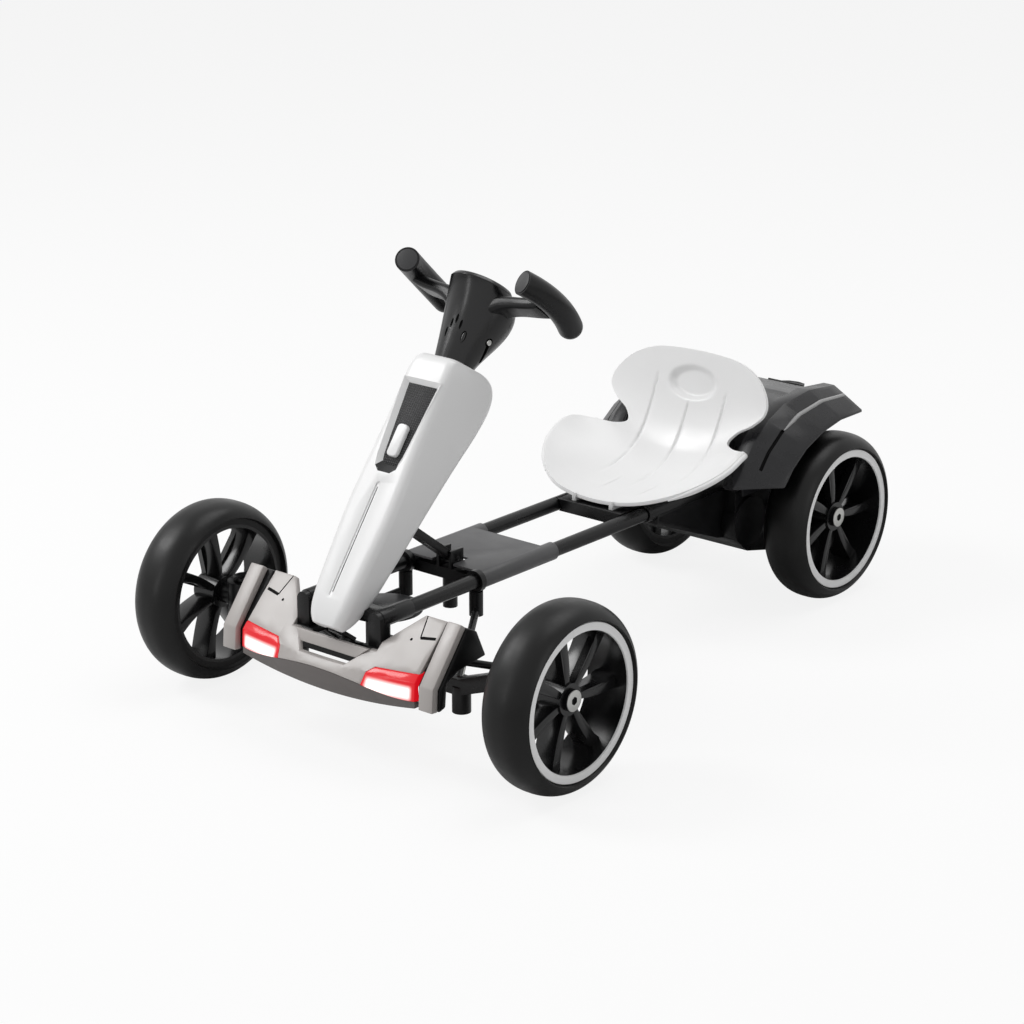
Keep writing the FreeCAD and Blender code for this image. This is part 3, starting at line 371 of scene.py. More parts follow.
# Painted shade: near-black walls and floors for moulded slots, holes, sockets and grooves, where
# hardly any light comes back.
PAINTED_SLOT_SHADE = Finish("painted_slot_shade", "050505", 0.7, cloud=0.05, specular=0.1)
# Black ABS with more gloss, as on the steering head: long soft highlights.
BLACK_ABS = Finish("moulded_black_abs", "0F0F10", 0.24, cloud=0.08, grain_mm=1.4,
                   grain_depth_mm=0.01, specular=0.45)
# Charcoal ABS of the rear cover, a little lighter than the frame around it.
COVER_ABS = Finish("moulded_charcoal_abs", "1C1C1E", 0.28, cloud=0.06, grain_mm=1.4,
                   grain_depth_mm=0.012, specular=0.35)
# Grey trim rib let into the mudguards; the same grey also paints shade on the walls of the line
# cut into the column's groove.
GREY_TRIM_AND_LINE_SHADE = Finish("grey_trim_and_painted_line_shade", "9C9C9C", 0.34, cloud=0.03, grain_mm=1.2)
# Vulcanised rubber of the tyres: nearly black, with a soft broad sheen.
TYRE_RUBBER = Finish("vulcanised_tyre_rubber", "090909", 0.38, Grain.STIPPLE, 1.0, 0.02,
                     cloud=0.15, smudge=0.08, ior=1.52, specular=0.22)
# Thermoplastic rubber of the grips, with a fine stipple and a soft highlight.
GRIP_RUBBER = Finish("soft_grip_rubber", "111112", 0.3, Grain.STIPPLE, 0.7, 0.02, cloud=0.1,
                     specular=0.28)
# The grips' flat end plugs are painted a little paler than the rubber, partly their own grey and
# partly a painted sheen for the light on their flat ends, so they show as ovals.
PLUG_SHEEN_PP = Finish("grip_plug_painted_sheen", "3E3E3F", 0.4, cloud=0.04, specular=0.3)
# Powder-coated steel: the orange peel of baked powder over tube and plate.
BLACK_POWDER = Finish("black_powder_coated_steel", "0C0C0D", 0.3, Grain.PEEL, 2.2, 0.03,
                      cloud=0.08, ior=1.5, specular=0.25)
GREY_POWDER = Finish("grey_powder_coated_steel", "4A4A4B", 0.4, Grain.PEEL, 2.0, 0.03,
                     cloud=0.05, ior=1.5, specular=0.35)
# Zinc-plated steel of nuts, screws and stay rods: pale metal with a slightly cloudy film.
ZINC_STEEL = Finish("zinc_plated_steel", "B9B9B6", 0.32, metallic=1.0, cloud=0.08,
                    grain_mm=0.8, grain_depth_mm=0.02)
# Moulded weave of the column's dark panel, drawn at a coarse pitch so that it shows, with painted
# shade in the gaps between its threads.
WOVEN_PANEL = WovenFinish("moulded_woven_panel", "4C4C4E", 0.4, cloud=0.0, smudge=0.03,
                          specular=0.25)
# Clear red lamp glass (polycarbonate), lit from behind.
LAMP_GLASS = LampFinish("red_polycarbonate_lamp", "8E0910", 0.2, cloud=0.02, smudge=0.02,
                        grain_depth_mm=0.004, ior=1.58, specular=0.3)

NODE_FINISHES: dict[Finish, tuple[str, ...]] = {
    TYRE_RUBBER: ("tyre_",),
    BLACK_ABS: ("rim_", "steering_head", "head_cap"),
    WHITE_ABS: ("trim_ring_", "column_shell", "power_pill", "seat"),
    BLACK_POWDER: ("frame_tubes", "tube_collars", "front_beam", "stays", "tie_rod",
                   "steering_shaft", "column_tube", "column_base", "pivot_bracket",
                   "column_brace", "slide_sleeves", "cross_member", "rear_axle"),
    GREY_POWDER: ("foot_plate",),
    BLACK_PP: ("knuckle_", "bumper_mount", "side_housings", "battery_box",
               "motor_housing", "rear_pad", "seat_ribs"),
    WOVEN_PANEL: ("recess_panel",),
    GRIP_RUBBER: ("handle_",),
    GREY_ABS: ("bumper_panel", "bumper_wings", "light_bar"),
    LIP_ABS: ("bumper_lip",),
    LAMP_GLASS: ("front_lamps",),
    COVER_ABS: ("rear_cover", "axle_cover"),
}


def at(x: float, y: float, z: float) -> Vector:
    """Turns millimetres of the drawing into metres of the frame."""
    return Vector((x, y + SHIFT_Y, z)) * MM


def body_of(node: str) -> str:
    """Returns the name of the body that a CAD node rides on."""
    bodies = frame["record"]["behaviour"]["bodies"]
    return next(body for body, nodes in bodies.items() if node in nodes)


def pick(made: bpy.types.Object) -> None:
    """Selects one object alone and makes it active.

    Args:
        made: The object.
    """
    bpy.ops.object.select_all(action="DESELECT")
    made.select_set(True)
    bpy.context.view_layer.objects.active = made


@contextmanager
def editing(made: bpy.types.Object) -> Iterator[None]:
    """Opens an object in edit mode and closes it afterwards.

    Args:
        made: The object.

    Yields:
        Nothing.
    """
    pick(made)
    bpy.ops.object.mode_set(mode="EDIT")
    yield
    bpy.ops.object.mode_set(mode="OBJECT")


def paint(made: bpy.types.Object, finish: Finish) -> None:
    """Gives an object one finish in place of all it had."""
    made.data.materials.clear()
    made.data.materials.append(finish.material())


def apply_modifier(made: bpy.types.Object, kind: str, settings: Mapping) -> None:
    """Adds a modifier, sets it and applies it.

    Args:
        made: The object.
        kind: The modifier's type name.
        settings: Values by property name.
    """
    pick(made)
    modifier = made.modifiers.new(kind.lower(), kind)
    for key, value in settings.items():
        setattr(modifier, key, value)
    bpy.ops.object.modifier_apply(modifier=modifier.name)


def smooth(made: bpy.types.Object, degrees: float = CREASE_DEGREES) -> None:
    """Shades an object smooth, with its edges above an angle sharp."""
    pick(made)
    bpy.ops.object.shade_smooth_by_angle(angle=math.radians(degrees))


def soften(made: bpy.types.Object, width_mm: float, segments: int = 2) -> None:
    """Rounds an object's edges as a mould or a file leaves them.

    Args:
        made: The object.
        width_mm: Width of the rounding.
        segments: Rows of faces across it.
    """
    apply_modifier(made, "BEVEL", {"width": width_mm * MM, "segments": segments,
                                   "limit_method": "ANGLE",
                                   "angle_limit": math.radians(SOFT_DEGREES)})
    smooth(made)


def copy_node(node: str, label: str, finish: Finish) -> bpy.types.Object:
    """Copies a CAD node's mesh and merges it, as the start of a detailed piece.

    Args:
        node: The CAD node.
        label: The new piece's name.
        finish: Its finish.

    Returns:
        The new object.
    """
    made = bpy.data.objects.new(label, frame["nodes"][node].data.copy())
    made.data.name = label
    bpy.context.scene.collection.objects.link(made)
    pick(made)
    if made.data.has_custom_normals:
        bpy.ops.mesh.customdata_custom_splitnormals_clear()
    with editing(made):
        bpy.ops.mesh.select_all(action="SELECT")
        bpy.ops.mesh.remove_doubles(threshold=MERGE_MM * MM)
        bpy.ops.mesh.dissolve_limited(angle_limit=math.radians(FLAT_DEGREES))
    paint(made, finish)
    return made


def primitive(label: str, kind: str, **settings: float) -> bpy.types.Object:
    """Adds one of Blender's primitive meshes.

    Args:
        label: Its name.
        kind: Which one, such as "cube".
        **settings: What the primitive takes.

    Returns:
        The new object.
    """
    bpy.ops.object.select_all(action="DESELECT")
    getattr(bpy.ops.mesh, "primitive_%s_add" % kind)(**settings)
    made = bpy.context.active_object
    made.name = label
    return made


def face_outwards(made: bpy.types.Object) -> None:
    """Turns all faces of a closed mesh outwards.

    Args:
        made: The object.
    """
    with editing(made):
        bpy.ops.mesh.select_all(action="SELECT")
        bpy.ops.mesh.normals_make_consistent(inside=False)


def bar(label: str, start: Vector, end: Vector, width_mm: float, height_mm: float,
        up: Vector) -> bpy.types.Object:
    """Makes a square bar between two points.

    Args:
        label: The bar's name.
        start: One end, in metres.
        end: The other end, in metres.
        width_mm: Its width.
        height_mm: Its height along up.
        up: The way that its top faces.

    Returns:
        The bar.
    """
    made = primitive(label, "cube", size=1.0)
    along = (end - start).normalized()
    top = (up - along * up.dot(along)).normalized()
    across = top.cross(along)
    turn = Matrix((along * (end - start).length, across * width_mm * MM,
                   top * height_mm * MM)).transposed().to_4x4()
    made.data.transform(Matrix.Translation((start + end) / 2) @ turn)
    return made


def disc(label: str, centre: Vector, axis: Vector, radius_mm: float, depth_mm: float,
         sides: int = 48) -> bpy.types.Object:
    """Makes a round or many-sided disc.

    Args:
        label: The disc's name.
        centre: Its middle, in metres.
        axis: The way that it faces.
        radius_mm: Its radius.
        depth_mm: Its thickness along the axis.
        sides: Number of sides.

    Returns:
        The disc.
    """
    made = primitive(label, "cylinder", vertices=sides, radius=radius_mm * MM,
                     depth=depth_mm * MM)
    turn = axis.to_track_quat("Z", "Y").to_matrix().to_4x4()
    made.data.transform(Matrix.Translation(centre) @ turn)
    return made


def drop(label: str, centre: Vector, along: Vector, out: Vector,
         half_mm: tuple[float, float, float]) -> bpy.types.Object:
    """Makes an egg-shaped solid, half lengths given along, across and outwards.

    Args:
        label: Its name.
        centre: Its middle, in metres.
        along: The way of its length.
        out: The way outwards.
        half_mm: Half lengths along, across and outwards.

    Returns:
        The solid.
    """
    made = primitive(label, "uv_sphere", segments=24, ring_count=14, radius=1.0)
    top = (out - along * out.dot(along)).normalized()
    turn = Matrix((along * half_mm[0] * MM, top.cross(along) * half_mm[1] * MM,
                   top * half_mm[2] * MM)).transposed().to_4x4()
    made.data.transform(Matrix.Translation(centre) @ turn)
    return made


def pipe(label: str, points: Sequence[Vector], radius_mm: float, finish: Finish,
         taper: float = 1.0) -> bpy.types.Object:
    """Runs a round bead through points and makes it a mesh.

    Args:
        label: The bead's name.
        points: Its route, in metres.
        radius_mm: Its radius.
        finish: Its finish.
        taper: Share of the radius at its first point.

    Returns:
        The bead.
    """
    curve = bpy.data.curves.new(label, "CURVE")
    curve.dimensions = "3D"
    curve.bevel_depth = radius_mm * MM
    curve.bevel_resolution = 4
    curve.resolution_u = 6
    curve.use_fill_caps = True
    run = curve.splines.new("BEZIER")
    run.bezier_points.add(len(points) - 1)
    for number, (knot, point) in enumerate(zip(run.bezier_points, points)):
        knot.co = point
        knot.radius = min(1.0, taper + TAPER_RATE * number / len(points))
        knot.handle_left_type = knot.handle_right_type = "AUTO"
    made = bpy.data.objects.new(label, curve)
    bpy.context.scene.collection.objects.link(made)
    pick(made)
    bpy.ops.object.convert(target="MESH")
    made = bpy.context.active_object
    paint(made, finish)
    smooth(made, BEAD_DEGREES)
    return made


def carve(made: bpy.types.Object, cutter: bpy.types.Object, finish: Finish) -> None:
    """Cuts one solid out of another and finishes the cut's walls.

    Args:
        made: The piece that is cut.
        cutter: The solid that is taken out; it is used up.
        finish: Finish of the new walls.
    """
    paint(cutter, finish)
    apply_modifier(made, "BOOLEAN", {"operation": "DIFFERENCE", "solver": "EXACT",
                                     "material_mode": "TRANSFER", "object": cutter})
    bpy.data.objects.remove(cutter)


def choose(made: bpy.types.Object, kind: str, chosen: Callable[..., bool]) -> None:
    """Selects some faces or edges of an object and no others.

    Args:
        made: The object.
        kind: "FACE" or "EDGE".
        chosen: Says whether a face or an edge is selected.
    """
    with editing(made):
        bpy.ops.mesh.select_mode(type=kind)
        bpy.ops.mesh.select_all(action="DESELECT")
    for item in made.data.polygons if kind == "FACE" else made.data.edges:
        item.select = chosen(item)


def inset_faces(made: bpy.types.Object, chosen: Callable[[bpy.types.MeshPolygon], bool],
                border_mm: float, depth_mm: float) -> None:
    """Sinks or raises the middle of chosen faces.

    Args:
        made: The object.
        chosen: Says whether a face takes part.
        border_mm: Width of the rim left around.
        depth_mm: How far the middle rises; negative sinks it.
    """
    choose(made, "FACE", chosen)
    with editing(made):
        bpy.ops.mesh.inset(thickness=border_mm * MM, depth=depth_mm * MM)


def settle(made: bpy.types.Object, body: str, *nodes: str) -> None:
    """Lets a finished piece ride on a body, in place of the CAD nodes it stands for.

    Args:
        made: The piece.
        body: The body that carries it.
        nodes: CAD nodes that it replaces.
    """
    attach(made, body)
    if nodes:
        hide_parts(*nodes)
    LOG.info("%s rides on %s", made.name, body)


def trim(made: bpy.types.Object, finish: Finish, body: str, width_mm: float = 0.0) -> None:
    """Finishes a small added part and sets it on its body.

    Args:
        made: The part.
        finish: Its finish.
        body: The body that carries it.
        width_mm: Width of its rounded edges; without it the part is shaded as a ball.
    """
    paint(made, finish)
    if width_mm:
        soften(made, width_mm)
    else:
        smooth(made, BALL_DEGREES)
    settle(made, body)


@dataclass(frozen=True)
class Wheel:
    """Where a wheel stands and which body its axle end belongs to."""

    name: str
    centre_mm: tuple[float, float, float]
    side: int
    carrier: str


WHEELS = (
    Wheel("front_left", (246.0, -323.3, 100.0), 1, "knuckle_left"),
    Wheel("front_right", (-246.0, -323.3, 100.0), -1, "knuckle_right"),
    Wheel("rear_left", (124.5, 323.3, 100.0), 1, "rear_module"),
    Wheel("rear_right", (-124.5, 323.3, 100.0), -1, "rear_module"),
)


@dataclass
class PlainParts:
    """Pieces that keep their CAD shape and only get their edges rounded."""

    edges_mm: Mapping[str, float] = field(default_factory=lambda: {
        "bumper_wings": 1.4, "side_housings": 2.0, "bumper_lip": 1.2, "light_bar": 0.8,
        "bumper_mount": 0.8, "head_cap": 1.6, "cross_member": 1.2, "pivot_bracket": 0.6,
        "column_brace": 0.8, "column_base": 0.6, "foot_plate": 0.8, "tube_collars": 0.8,
        "slide_sleeves": 0.6, "axle_cover": 1.2, "seat_ribs": 0.6, "front_lamps": 0.9,
        "front_beam": 1.0, "knuckle_left": 0.8, "knuckle_right": 0.8})

    def build(self) -> None:
        """Copies each node, rounds its edges and lets it stand for the node."""
        for node, width in self.edges_mm.items():
            finish = next(f for f, starts in NODE_FINISHES.items() if node.startswith(starts))
            made = copy_node(node, node + "_finished", finish)
            soften(made, width)
            settle(made, body_of(node), node)


@dataclass
class Bumper:
    """Bumper panel with its moulded slots and screw holes."""

    slots_mm: Sequence[tuple[tuple[float, ...], tuple[float, ...], float]] = (
        ((118.0, -366.5, 143.3), (100.0, -369.3, 141.0), 3.4),
        ((100.0, -369.3, 141.0), (94.4, -350.0, 157.4), 1.5),
    )
    hole_mm: tuple[float, float, float] = (90.5, -372.5, 138.2)
    hole_radius_mm: float = 1.6
    hole_depth_mm: float = 5.0
    hole_sides: int = 20
    slot_depth_mm: float = 4.0
    edge_mm: float = 1.0
    face: tuple[float, float, float] = (0.0, -0.652, 0.759)

    def build(self) -> None:
        """Carves the panel and lets it stand for its node."""
        panel = copy_node("bumper_panel", "bumper_panel_finished", GREY_ABS)
        soften(panel, self.edge_mm)
        face = Vector(self.face)
        # The walls of the slots and screw holes take the near-black painted slot shade.
        for side in (1, -1):
            for start, end, width in self.slots_mm:
                ends = [at(side * x, y, z) for x, y, z in (start, end)]
                carve(panel, bar("slot", *ends, width, self.slot_depth_mm, face), PAINTED_SLOT_SHADE)
            x, y, z = self.hole_mm
            carve(panel, disc("hole", at(side * x, y, z), face, self.hole_radius_mm,
                              self.hole_depth_mm, self.hole_sides), PAINTED_SLOT_SHADE)
        smooth(panel)
        settle(panel, "front_frame", "bumper_panel")


@dataclass
class SteeringHead:
    """Steering head with its leaf-shaped slots, side screw and grips' end plugs."""

    top_mm: tuple[float, float, float] = (0.0, -152.5, 450.0)
    # Each row: distance below the top, radius and set back of the cone there
    profile_mm: Sequence[tuple[float, float, float]] = (
        (5.0, 35.0, 0.0), (25.0, 38.3, 12.3), (35.0, 37.3, 14.2), (45.0, 35.1, 14.1),
        (55.0, 32.1, 12.6), (65.0, 28.8, 10.5), (75.0, 25.6, 8.3), (85.0, 22.8, 6.8),
        (100.0, 20.5, 7.0))
    # Each row: distance below the top and angle from the front
    slots: Sequence[tuple[float, float]] = (
        (65.5, -12.7), (55.0, -3.8), (49.4, 5.0), (54.5, 16.2))
    oval: tuple[float, float] = (65.6, 31.8)
    screw: tuple[float, float] = (59.2, 85.9)
    screw_trail: tuple[float, float] = (80.0, 118.0)
    # Half lengths along, across and outwards
    leaf_half_mm: tuple[float, float, float] = (6.4, 1.5, 1.4)
    oval_half_mm: tuple[float, float, float] = (8.0, 2.8, 1.5)
    insert_half_mm: tuple[float, float, float] = (6.6, 1.9, 1.2)
    insert_sunk_mm: float = 0.5
    # Radius and depth of the screw and its seat; width and depth of the trail below
    screw_mm: tuple[float, float] = (3.2, 2.0)
    screw_sunk_mm: float = 0.2
    screw_edge_mm: float = 0.4
    screw_seat_mm: tuple[float, float] = (4.6, 3.0)
    trail_mm: tuple[float, float] = (4.6, 3.6)
    # Radius and thickness of a grip's end plug
    plug_mm: tuple[float, float] = (11.4, 1.4)
    plug_proud_mm: float = 0.2
    plug_edge_mm: float = 0.5
    grip_end_mm: tuple[float, float, float] = (79.4, -31.0, 19.5)
    grip_axis: tuple[float, float, float] = (-0.377, -0.785, 0.492)

    def spot(self, below: float, degrees: float) -> tuple[Vector, Vector]:
        """Finds a point of the cone and the way that it faces.

        Args:
            below: Distance below the top in millimetres.
            degrees: Angle from the front towards the left side.

        Returns:
            The point in metres and the outward direction.
        """
        rows = self.profile_mm
        low = next(i for i in range(1, len(rows)) if below <= rows[i][0] or i == len(rows) - 1)
        (a, ra, sa), (b, rb, sb) = rows[low - 1], rows[low]
        share = (below - a) / (b - a)
        radius, back = ra + (rb - ra) * share, sa + (sb - sa) * share
        out = SIDE * math.sin(math.radians(degrees)) - BACK * math.cos(math.radians(degrees))
        return at(*self.top_mm) + (BACK * back - UP * below + out * radius) * MM, out

    def build(self) -> None:
        """Carves the head and adds its small parts."""
        head = copy_node("steering_head", "steering_head_finished", BLACK_ABS)
        # The leaf slots, oval, screw seat and trail are cut with walls in the near-black painted
        # slot shade.
        for below, degrees in self.slots:
            centre, out = self.spot(below, degrees)
            carve(head, drop("leaf", centre, UP, out, self.leaf_half_mm), PAINTED_SLOT_SHADE)
        centre, out = self.spot(*self.oval)
        carve(head, drop("oval", centre, UP, out, self.oval_half_mm), PAINTED_SLOT_SHADE)
        screw_at, screw_out = self.spot(*self.screw)
        trail_at, _ = self.spot(*self.screw_trail)
        carve(head, disc("seat", screw_at, screw_out, *self.screw_seat_mm, 32), PAINTED_SLOT_SHADE)
        carve(head, bar("trail", screw_at, trail_at, *self.trail_mm, screw_out), PAINTED_SLOT_SHADE)
        smooth(head)
        settle(head, "steering", "steering_head")
        insert = drop("oval_insert", centre - out * self.insert_sunk_mm * MM, UP, out,
                      self.insert_half_mm)
        trim(insert, BLACK_ABS, "steering")
        screw = disc("head_screw", screw_at - screw_out * self.screw_sunk_mm * MM, screw_out,
                     *self.screw_mm, 24)
        trim(screw, ZINC_STEEL, "steering", self.screw_edge_mm)

    def grips(self) -> None:
        """Smooths the handles and closes each grip with a plug whose paleness is partly painted
        sheen.
        """
        for name, side in (("left", 1), ("right", -1)):
            handle = copy_node("handle_" + name, "handle_%s_finished" % name, GRIP_RUBBER)
            smooth(handle, TUBE_DEGREES)
            settle(handle, "steering", "handle_" + name)
            x, y, z = self.grip_end_mm
            end = at(*self.top_mm) + Vector((side * x, y, z)) * MM
            axis = Vector((side * self.grip_axis[0], *self.grip_axis[1:])).normalized()
            plug = disc("grip_plug_" + name, end + axis * self.plug_proud_mm * MM, axis,
                        *self.plug_mm)
            trim(plug, PLUG_SHEEN_PP, "steering", self.plug_edge_mm)


@dataclass
class Column:
    """White column shell: a sunken woven panel in a sloped frame, and a groove with a line of
    painted shade cut along it.
    """

    top_mm: tuple[float, float, float] = (0.0, -247.5, 368.9)
    foot_mm: tuple[float, float, float] = (0.0, -394.0, 169.0)
    # Outlines of the recess: x and distance below the top, right half, outside and inside
    rim_half_mm: Sequence[tuple[float, float]] = (
        (25.5, 2.8), (17.5, 92.0), (14.5, 103.0), (8.0, 108.5))
    floor_half_mm: Sequence[tuple[float, float]] = (
        (18.8, 8.0), (12.0, 88.0), (10.2, 95.0), (5.5, 98.0))
    recess_mm: float = 4.8
    tray_wall_mm: float = 1.2
    # Depths between which the opening and its room in the steel tube are cut
    opening_mm: tuple[float, float] = (-6.0, 4.0)
    room_mm: tuple[float, float] = (-1.0, 7.5)
    # The woven panel's depths from the foot of the slopes, and its reach under them
    panel_mm: tuple[float, float] = (-0.5, 1.5)
    panel_under_mm: float = 0.8
    panel_edge_mm: float = 0.2
    dark_from_mm: float = 95.0
    edge_mm: float = 0.9
    pill_half_mm: tuple[float, float] = (6.6, 18.0)
    pill_middle_mm: float = 72.0
    pill_rise_mm: float = 0.8
    pill_corner_mm: float = 4.4
    pill_edge_mm: float = 1.0
    line_mm: tuple[tuple[float, ...], tuple[float, ...]] = (
        (0.0, -321.0, 268.0), (0.0, -391.0, 172.7))
    line_width_mm: float = 1.3
    line_depth_mm: float = 1.8
    line_sunk_mm: float = 1.2
    # Faces and edges that look this straight into the shell count as square to its front
    face_square: float = 0.98
    edge_square: float = 0.9

    def build(self) -> None:
        """Rounds the shell's edges, cuts the line with grey painted shade on its walls and sets
        the shell in place.
        """
        shell = copy_node("column_shell", "column_shell_finished", WHITE_ABS)
        soften(shell, self.edge_mm)
        carve(shell, self.prism("opening", self.rim_half_mm, *self.opening_mm), WHITE_ABS)
        # The line's walls are painted grey as shade inside the groove.
        sunk = self.inward() * self.line_sunk_mm * MM
        start, end = [at(*point) + sunk for point in self.line_mm]
        carve(shell, bar("line", start, end, self.line_width_mm, self.line_depth_mm,
                         -self.inward()), GREY_TRIM_AND_LINE_SHADE)
        smooth(shell)
        settle(shell, "front_frame", "column_shell")
        tube = copy_node("column_tube", "column_tube_finished", BLACK_POWDER)
        carve(tube, self.prism("recess_room", self.rim_half_mm, *self.room_mm), BLACK_POWDER)
        smooth(tube)
        settle(tube, "front_frame", "column_tube")
        self.recess()
        self.pill()

    def downward(self) -> Vector:
        """Returns the way that the front face runs down."""
        return (at(*self.foot_mm) - at(*self.top_mm)).normalized()

    def inward(self) -> Vector:
        """Returns the way into the shell, square to its front face."""
        return SIDE.cross(self.downward()).normalized()

    def spot(self, x: float, below: float, depth: float) -> Vector:
        """Finds a point under the front face.

        Args:
            x: Distance from the middle in millimetres.
            below: Distance down the face.
            depth: Distance behind it.

        Returns:
            The point in metres.
        """
        return (at(*self.top_mm) + SIDE * x * MM + self.downward() * below * MM
                + self.inward() * depth * MM)

    @staticmethod
    def ring(half: Sequence[tuple[float, float]]) -> list[tuple[float, float]]:
        """Mirrors half an outline into a closed one."""
        return list(half) + [(-x, below) for x, below in reversed(half)]

    def prism(self, label: str, half: Sequence[tuple[float, float]], start: float,
              end: float) -> bpy.types.Object:
        """Makes a prism square to the front face.

        Args:
            label: Its name.
            half: Half of its outline.
            start: Depth where it begins.
            end: Depth where it ends.

        Returns:
            The prism.
        """
        outline = self.ring(half)
        made = primitive(label, "cylinder", vertices=len(outline), radius=1.0, depth=2.0)
        levels = [(end, [v for v in made.data.vertices if v.co.z < 0.0]),
                  (start, [v for v in made.data.vertices if v.co.z > 0.0])]
        for depth, corners in levels:
            corners.sort(key=lambda v: math.atan2(v.co.x, v.co.y))
            for vertex, (x, below) in zip(corners, outline):
                vertex.co = self.spot(x, below, depth)
        face_outwards(made)
        return made

    def slopes(self) -> bpy.types.Object:
        """Shapes the slopes from the rim of the recess down to its floor.

        Returns:
            The slopes as an open ring of faces.
        """
        tray = self.prism("recess_tray", self.rim_half_mm, 0.0, self.recess_mm)
        deep = self.spot(0.0, 0.0, self.recess_mm)
        bottom = [v for v in tray.data.vertices
                  if abs((v.co - deep).dot(self.inward())) < self.recess_mm / 2 * MM]
        for foot, rim in zip(self.ring(self.floor_half_mm), self.ring(self.rim_half_mm)):
            place = self.spot(*rim, self.recess_mm)
            vertex = min(bottom, key=lambda v: (v.co - place).length)
            bottom.remove(vertex)
            vertex.co = self.spot(*foot, self.recess_mm)
        choose(tray, "FACE",
               lambda face: abs(face.normal.dot(self.inward())) > self.face_square)
        with editing(tray):
            bpy.ops.mesh.delete(type="FACE")
        tray.data.flip_normals()
        return tray

    def recess(self) -> None:
        """Builds the sloped frame of the recess and the woven panel at its bottom."""
        tray = self.slopes()
        paint(tray, WHITE_ABS)
        tray.data.materials.append(BLACK_ABS.material())
        for face in tray.data.polygons:
            below = (face.center - at(*self.top_mm)).dot(self.downward())
            if below > self.dark_from_mm * MM:
                face.material_index = 1
        apply_modifier(tray, "SOLIDIFY", {"thickness": self.tray_wall_mm * MM, "offset": -1.0})
        smooth(tray, FACET_DEGREES)
        settle(tray, "front_frame")
        grown = [(x + self.panel_under_mm, below) for x, below in self.floor_half_mm]
        start, end = [self.recess_mm + depth for depth in self.panel_mm]
        panel = self.prism("woven_panel", grown, start, end)
        paint(panel, WOVEN_PANEL)
        soften(panel, self.panel_edge_mm)
        settle(panel, "front_frame", "recess_panel")

    def pill(self) -> None:
        """Builds the long switch button on the panel."""
        half_x, half_long = self.pill_half_mm
        middle = self.pill_middle_mm
        button = bar("switch_button", self.spot(0.0, middle - half_long, self.recess_mm / 2),
                     self.spot(0.0, middle + half_long, self.recess_mm / 2), 2 * half_x,
                     self.recess_mm + 2 * self.pill_rise_mm, -self.inward())

        def upright(edge: bpy.types.MeshEdge) -> bool:
            """Says whether an edge of the button stands square to the panel."""
            a, b = [button.data.vertices[i].co for i in edge.vertices]
            return abs((b - a).normalized().dot(self.inward())) > self.edge_square

        choose(button, "EDGE", upright)
        with editing(button):
            bpy.ops.mesh.bevel(offset=self.pill_corner_mm * MM, segments=6)
        paint(button, WHITE_ABS)
        soften(button, self.pill_edge_mm, 3)
        settle(button, "front_frame", "power_pill")


@dataclass
class Spokes:
    """Deep tapered spokes of the moulded wheels, seven to a wheel."""

    count: int = 7
    phase: float = -41.2
    inner_mm: float = 15.0
    outer_mm: float = 73.8
    # Tangential half width at the hub, half way and at the rim
    half_mm: tuple[float, float, float] = (3.8, 4.3, 7.0)
    face_mm: float = 10.4
    back_mm: float = -15.5
    bow_mm: float = 3.0
    # How late the blade widens towards the rim
    flare: float = 1.5
    edge_mm: float = 0.8

    def blade(self, side: int) -> bpy.types.Object:
        """Models one spoke that stands straight up from the wheel's middle.

        Args:
            side: 1 for a left wheel, -1 for a right one.

        Returns:
            The spoke.
        """
        made = primitive("spoke", "grid", x_subdivisions=2, y_subdivisions=8, size=2.0)
        hub, middle, tip = self.half_mm
        for vertex in made.data.vertices:
            share = (vertex.co.y + 1.0) / 2.0
            half = (hub + (middle - hub) * min(1.0, 2 * share)
                    + (tip - middle) * max(0.0, 2 * share - 1.0) ** self.flare)
            bow = self.bow_mm * math.sin(math.pi * share)
            vertex.co = Vector((side * self.face_mm, vertex.co.x * half + bow,
                                self.inner_mm + (self.outer_mm - self.inner_mm) * share)) * MM
        with editing(made):
            bpy.ops.mesh.select_all(action="SELECT")
            bpy.ops.mesh.extrude_region_move(TRANSFORM_OT_translate={
                "value": (side * (self.back_mm - self.face_mm) * MM, 0.0, 0.0)})
        face_outwards(made)
        return made

    def build(self) -> None:
        """Copies the spoke round each wheel and joins each set."""
        for wheel in WHEELS:
            first = self.blade(wheel.side)
            paint(first, BLACK_ABS)
            soften(first, self.edge_mm)
            blades = [first]
            for _ in range(1, self.count):
                twin = first.copy()
                twin.data = first.data.copy()
                bpy.context.scene.collection.objects.link(twin)
                blades.append(twin)
            for number, one in enumerate(blades):
                turn = math.radians(self.phase + 360.0 * number / self.count)
                one.data.transform(Matrix.Translation(at(*wheel.centre_mm))
                                   @ Matrix.Rotation(turn, 4, "X"))
            bpy.ops.object.select_all(action="DESELECT")
            for one in blades:
                one.select_set(True)
            bpy.context.view_layer.objects.active = first
            bpy.ops.object.join()
            first.name = "wheel_spokes_" + wheel.name
            settle(first, "wheel_" + wheel.name)


@dataclass
class HubCaps:
    """Plated axle nuts with a socket, one on each wheel's outer side."""

    face_mm: float = 15.8
    radius_mm: float = 11.3
    thick_mm: float = 1.4
    # Radius, depth and number of sides of the socket
    socket_mm: tuple[float, float, int] = (4.6, 2.0, 6)
    edge_mm: float = 0.5

    def build(self) -> None:
        """Makes the four caps."""
        for wheel in WHEELS:
            out = SIDE * wheel.side
            face = at(*wheel.centre_mm) + out * self.face_mm * MM
            cap = disc("axle_nut_" + wheel.name, face + out * self.thick_mm / 2 * MM, out,
                       self.radius_mm, self.thick_mm)
            paint(cap, ZINC_STEEL)
            soften(cap, self.edge_mm)
            # The socket's walls take the near-black painted slot shade.
            carve(cap, disc("socket", face + out * self.thick_mm * MM, out, *self.socket_mm),
                  PAINTED_SLOT_SHADE)
            smooth(cap)
            settle(cap, wheel.carrier)


